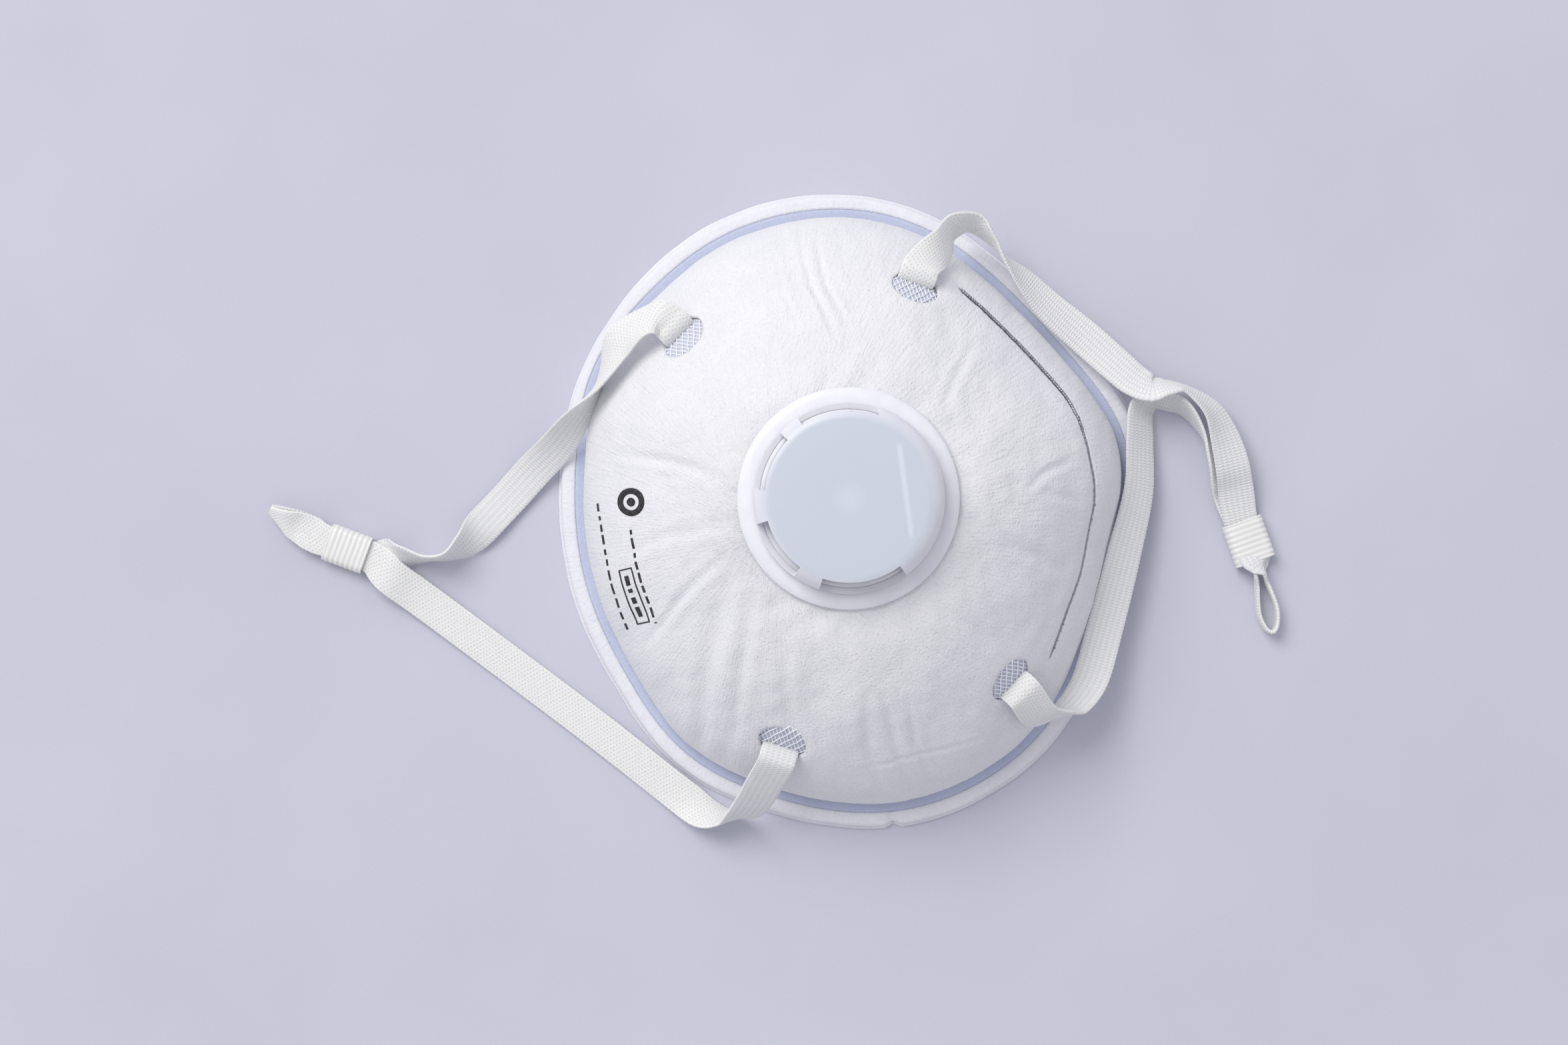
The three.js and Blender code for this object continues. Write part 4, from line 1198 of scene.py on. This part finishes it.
def consistent(piece):
    """Turns all faces of a closed mesh outward."""
    work = bmesh.new()
    work.from_mesh(piece.data)
    bmesh.ops.recalc_face_normals(work, faces=work.faces)
    work.to_mesh(piece.data)
    work.free()


def carve(piece, cutter):
    """Cuts one mesh from another and keeps the result as a plain mesh."""
    for part in (piece, cutter):
        consistent(part)
    modifier(piece, "BOOLEAN", operation="DIFFERENCE", object=cutter, solver="EXACT")
    graph = bpy.context.evaluated_depsgraph_get()
    mesh = bpy.data.meshes.new_from_object(piece.evaluated_get(graph))
    piece.modifiers.clear()
    piece.data = mesh
    bpy.data.objects.remove(cutter)


def crisp(piece, width=0.18, angle=32):
    """Small rounded edges on moulded plastic."""
    modifier(piece, "BEVEL", width=width * MM, segments=3, limit_method="ANGLE",
             angle_limit=math.radians(angle), harden_normals=True)
    piece.data.set_sharp_from_angle(angle=math.radians(angle))


def build_cap():
    profile = [
        (0.01, 10.2), (8, 10.2), (15.5, 10.2), (16.2, 10.12), (16.8, 9.9), (17.5, 9.5), (18.2, 8.8),
        (18.75, 7.8), (19.0, 6.6), (19.0, 2.2), (17.8, 2.2), (17.8, 6.4), (17.3, 7.9),
        (16.3, 8.8), (15.0, 9.0), (8, 9.0), (0.01, 9.0),
    ]
    points, faces = lathe(profile)
    cap = add_piece("valve_cover", points, faces, CAP_PLASTIC)
    skirt = lathe([(16.2, 5.6), (16.2, 4.8), (17.6, 3.2), (18.3, 3.0), (18.3, 3.8), (17.8, 4.2)])
    skirt = add_piece("window_skirt", *skirt, VALVE_PLASTIC)
    consistent(skirt)
    finish_piece(skirt, "cap")
    blocks = [sector_block(16.7, 19.6, 4.4, 10.6, *w) for w in ((-26, 29), (-82, -43), (-141, -103))]
    blocks.append(sector_block(17.2, 19.6, 4.4, 10.1, 153, 205))
    cutter = add_piece("window_cutter", *merged(blocks), CAP_PLASTIC)
    carve(cap, cutter)
    crisp(cap)
    finish_piece(cap, "cap", "valve_cap")
    bar = add_piece("flap_bar", *turned_box(19.4, 1.0, 5.4, (0, BAR_Y, 6.5)), VALVE_PLASTIC)
    crisp(bar)
    finish_piece(bar, "cap")


def build_base():
    body = lathe([
        (13.4, 0.4), (15, -1.2), (15, -7), (16.5, -7), (16.5, 0.1), (21.5, 0.15), (22.1, 0.35),
        (22.3, 0.8), (22.2, 1.25), (21.8, 1.6), (21.2, 1.8), (20.2, 1.95), (19.4, 1.9),
        (14.4, 1.9), (14.4, 2.7), (13.4, 2.7),
    ])
    hub = lathe([(0.01, 0.6), (3, 0.6), (3, 1.8), (0.01, 1.8)], 48)
    spokes = [turned_box(*size, 1.2, (0, 0, 1.2)) for size in ((27.4, 1.6), (1.6, 27.4))]
    parts = [body, *spokes, hub]
    piece = add_piece("valve_seat", *merged(parts), VALVE_PLASTIC)
    consistent(piece)
    crisp(piece, 0.15)
    finish_piece(piece, "valve", "valve_base")


def build_inner_ring():
    top = -(float(lining_depth(0.0)) + LINING_THICK) - 0.8
    profile = [
        (16.8, top), (16.8, top - 1.7), (19.6, top - 1.7), (20.4, top - 1.5), (20.9, top - 1.0),
        (20.9, top),
    ]
    piece = add_piece("valve_clamp_ring", *lathe(profile), VALVE_PLASTIC)
    consistent(piece)
    crisp(piece)
    finish_piece(piece, "valve", "valve_inner_ring")


FOAM_SHARE = 0.78  # place of the pad between the cup's centre and its edge


def build_foam():
    """The pad under the clip, on the face side: a rounded strip with pulled-in ends."""
    count = np.arange(70)
    angle = np.radians(np.linspace(58, 122, len(count)))
    reach = FOAM_SHARE * (seam_radius(angle) - COVER_INSET)
    x, y = reach * np.cos(angle), reach * np.sin(angle)
    normal = form_normal(x, y)
    depth = lining_depth(FOAM_SHARE) + LINING_THICK + 0.8 + 1.75
    path = np.stack([x, y, form_height(x, y)], -1) - normal * depth
    across = np.cross(normal, unit(np.gradient(path, axis=0)))
    ends = np.minimum(count, count[::-1]) / 7
    shrink = rounding(ends, 0.05)
    dent = 1 + 0.03 * np.sin(count * 1.7)[:, None, None]
    sections = oblong(9.0, 3.4, 1.2, 6) * dent * (0.6 + 0.4 * shrink)[:, None, None]
    piece = swept_piece("nose_pad", path, across, sections, FOAM)
    modifier(piece, "SUBSURF", levels=1, render_levels=1)
    finish_piece(piece, "foam", "nose_foam")


# ---- generic print


INK_THICK = 0.04
INK_LIFT = 0.07
RING_AT = (-12.5, -43.4)
BOX_LINE = 0.28


def print_patch(x, y):
    """Points and faces of a mark laid on the cover, from rows of plan points."""
    faces = flipped(grid_faces(*x.shape))
    return cover_point(x.ravel(), y.ravel(), INK_LIFT), faces


def mark_patch(u0, u1, v0, v1, steps=12):
    """A filled mark: u runs along an arc over the chin in mm, v is the arc's place down it."""
    u, v = np.meshgrid(np.linspace(u0, u1, steps), np.linspace(v0, v1, 3), indexing="ij")
    return print_patch(u, v + 0.0045 * (u - 2) ** 2)


def ring_patch(r_low, r_high):
    turn = np.radians(np.linspace(0, 360, 28))[:, None]
    r = np.linspace(r_low, r_high, 3)[None]
    return print_patch(RING_AT[0] + r * np.cos(turn), RING_AT[1] + r * np.sin(turn))


def box_patches(u0, u1, v0, v1):
    """The four lines of a box."""
    return [
        mark_patch(u0, u1, v0, v0 + BOX_LINE),
        mark_patch(u0, u1, v1 - BOX_LINE, v1),
        mark_patch(u0, u0 + BOX_LINE, v0, v1, 3),
        mark_patch(u1 - BOX_LINE, u1, v0, v1, 3),
    ]


def build_print():
    """Generic marks where a mask carries its print: a ring, a box and rows of dashes."""
    parts = [ring_patch(1.7, 2.9), ring_patch(0.0, 0.9), *box_patches(0.5, 12.5, -49.4, -46.4)]
    draw = np.random.default_rng(3)
    for v, start, stop, tall in ((-45.3, -7, 13, 0.5), (-48.0, 2, 11, 0.9), (-51.6, -14, 13, 0.45)):
        u = start
        while u < stop:
            width = draw.uniform(0.8, 2.6)
            parts.append(mark_patch(u, min(u + width, stop), v - tall / 2, v + tall / 2, 6))
            u += width + draw.uniform(0.6, 1.1)
    piece = add_piece("generic_print", *merged(parts), INK)
    modifier(piece, "SOLIDIFY", thickness=INK_THICK * MM, offset=-1)
    finish_piece(piece, "cover")


def paint_cad_nodes():
    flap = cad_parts["valve_flap"]
    flap.data.materials.clear()
    flap.data.materials.append(FLAP_RUBBER)


build_cover()
build_layers()
build_rim()
build_clip()
build_net()
build_bands()
build_ferrule("chin_slider", CHIN_FERRULE, "chin_ferrule")
build_ferrule("crown_slider", CROWN_FERRULE, "crown_ferrule")
build_cap()
build_base()
build_inner_ring()
build_foam()
build_print()
paint_cad_nodes()


# ---- table, light and camera

CAMERA_AT = (-1.0, -13.9, 650.0)  # above the seam's plane, looking straight down
CAMERA_TURN = math.atan2(0.9715, 0.2368)
LENS = 69.8
TABLE_HALF = 4000.0
SKY_COLOUR = (0.925, 0.93, 1.0, 1)
SKY_STRENGTH = 0.62
WINDOW_AT = (-1.7, -0.8, 2.1)  # in metres, like the window's size
WINDOW_SIZE = 1.7
WINDOW_POWER = 50.0
WINDOW_COLOUR = (1.0, 0.985, 0.96)


def build_table():
    size = TABLE_HALF
    corners = [(-size, -size, 0), (size, -size, 0), (size, size, 0), (-size, size, 0)]
    table = add_piece("table_top", corners, [(0, 1, 2, 3)], TABLE_SHEET)


def build_camera():
    data = bpy.data.cameras.new("camera")
    data.lens = LENS
    data.sensor_width = 36.0
    camera = bpy.data.objects.new("camera", data)
    camera.location = (np.array(CAMERA_AT) + HOME) * MM
    camera.rotation_euler = (0, 0, CAMERA_TURN)
    bpy.context.scene.collection.objects.link(camera)
    bpy.context.scene.camera = camera


def build_light():
    """An even sky and one large window, which points at the frame's origin."""
    world = bpy.data.worlds.new("studio")
    world.use_nodes = True
    background = world.node_tree.nodes["Background"]
    background.inputs[0].default_value = SKY_COLOUR
    background.inputs[1].default_value = SKY_STRENGTH
    bpy.context.scene.world = world
    data = bpy.data.lights.new("window", "AREA")
    data.energy = WINDOW_POWER
    data.size = WINDOW_SIZE
    data.color = WINDOW_COLOUR
    light = bpy.data.objects.new("window", data)
    light.location = WINDOW_AT
    light.rotation_euler = (-Vector(WINDOW_AT)).to_track_quat("-Z", "Y").to_euler()
    bpy.context.scene.collection.objects.link(light)
    bpy.context.scene.view_settings.view_transform = "Standard"


build_table()
build_camera()
build_light()
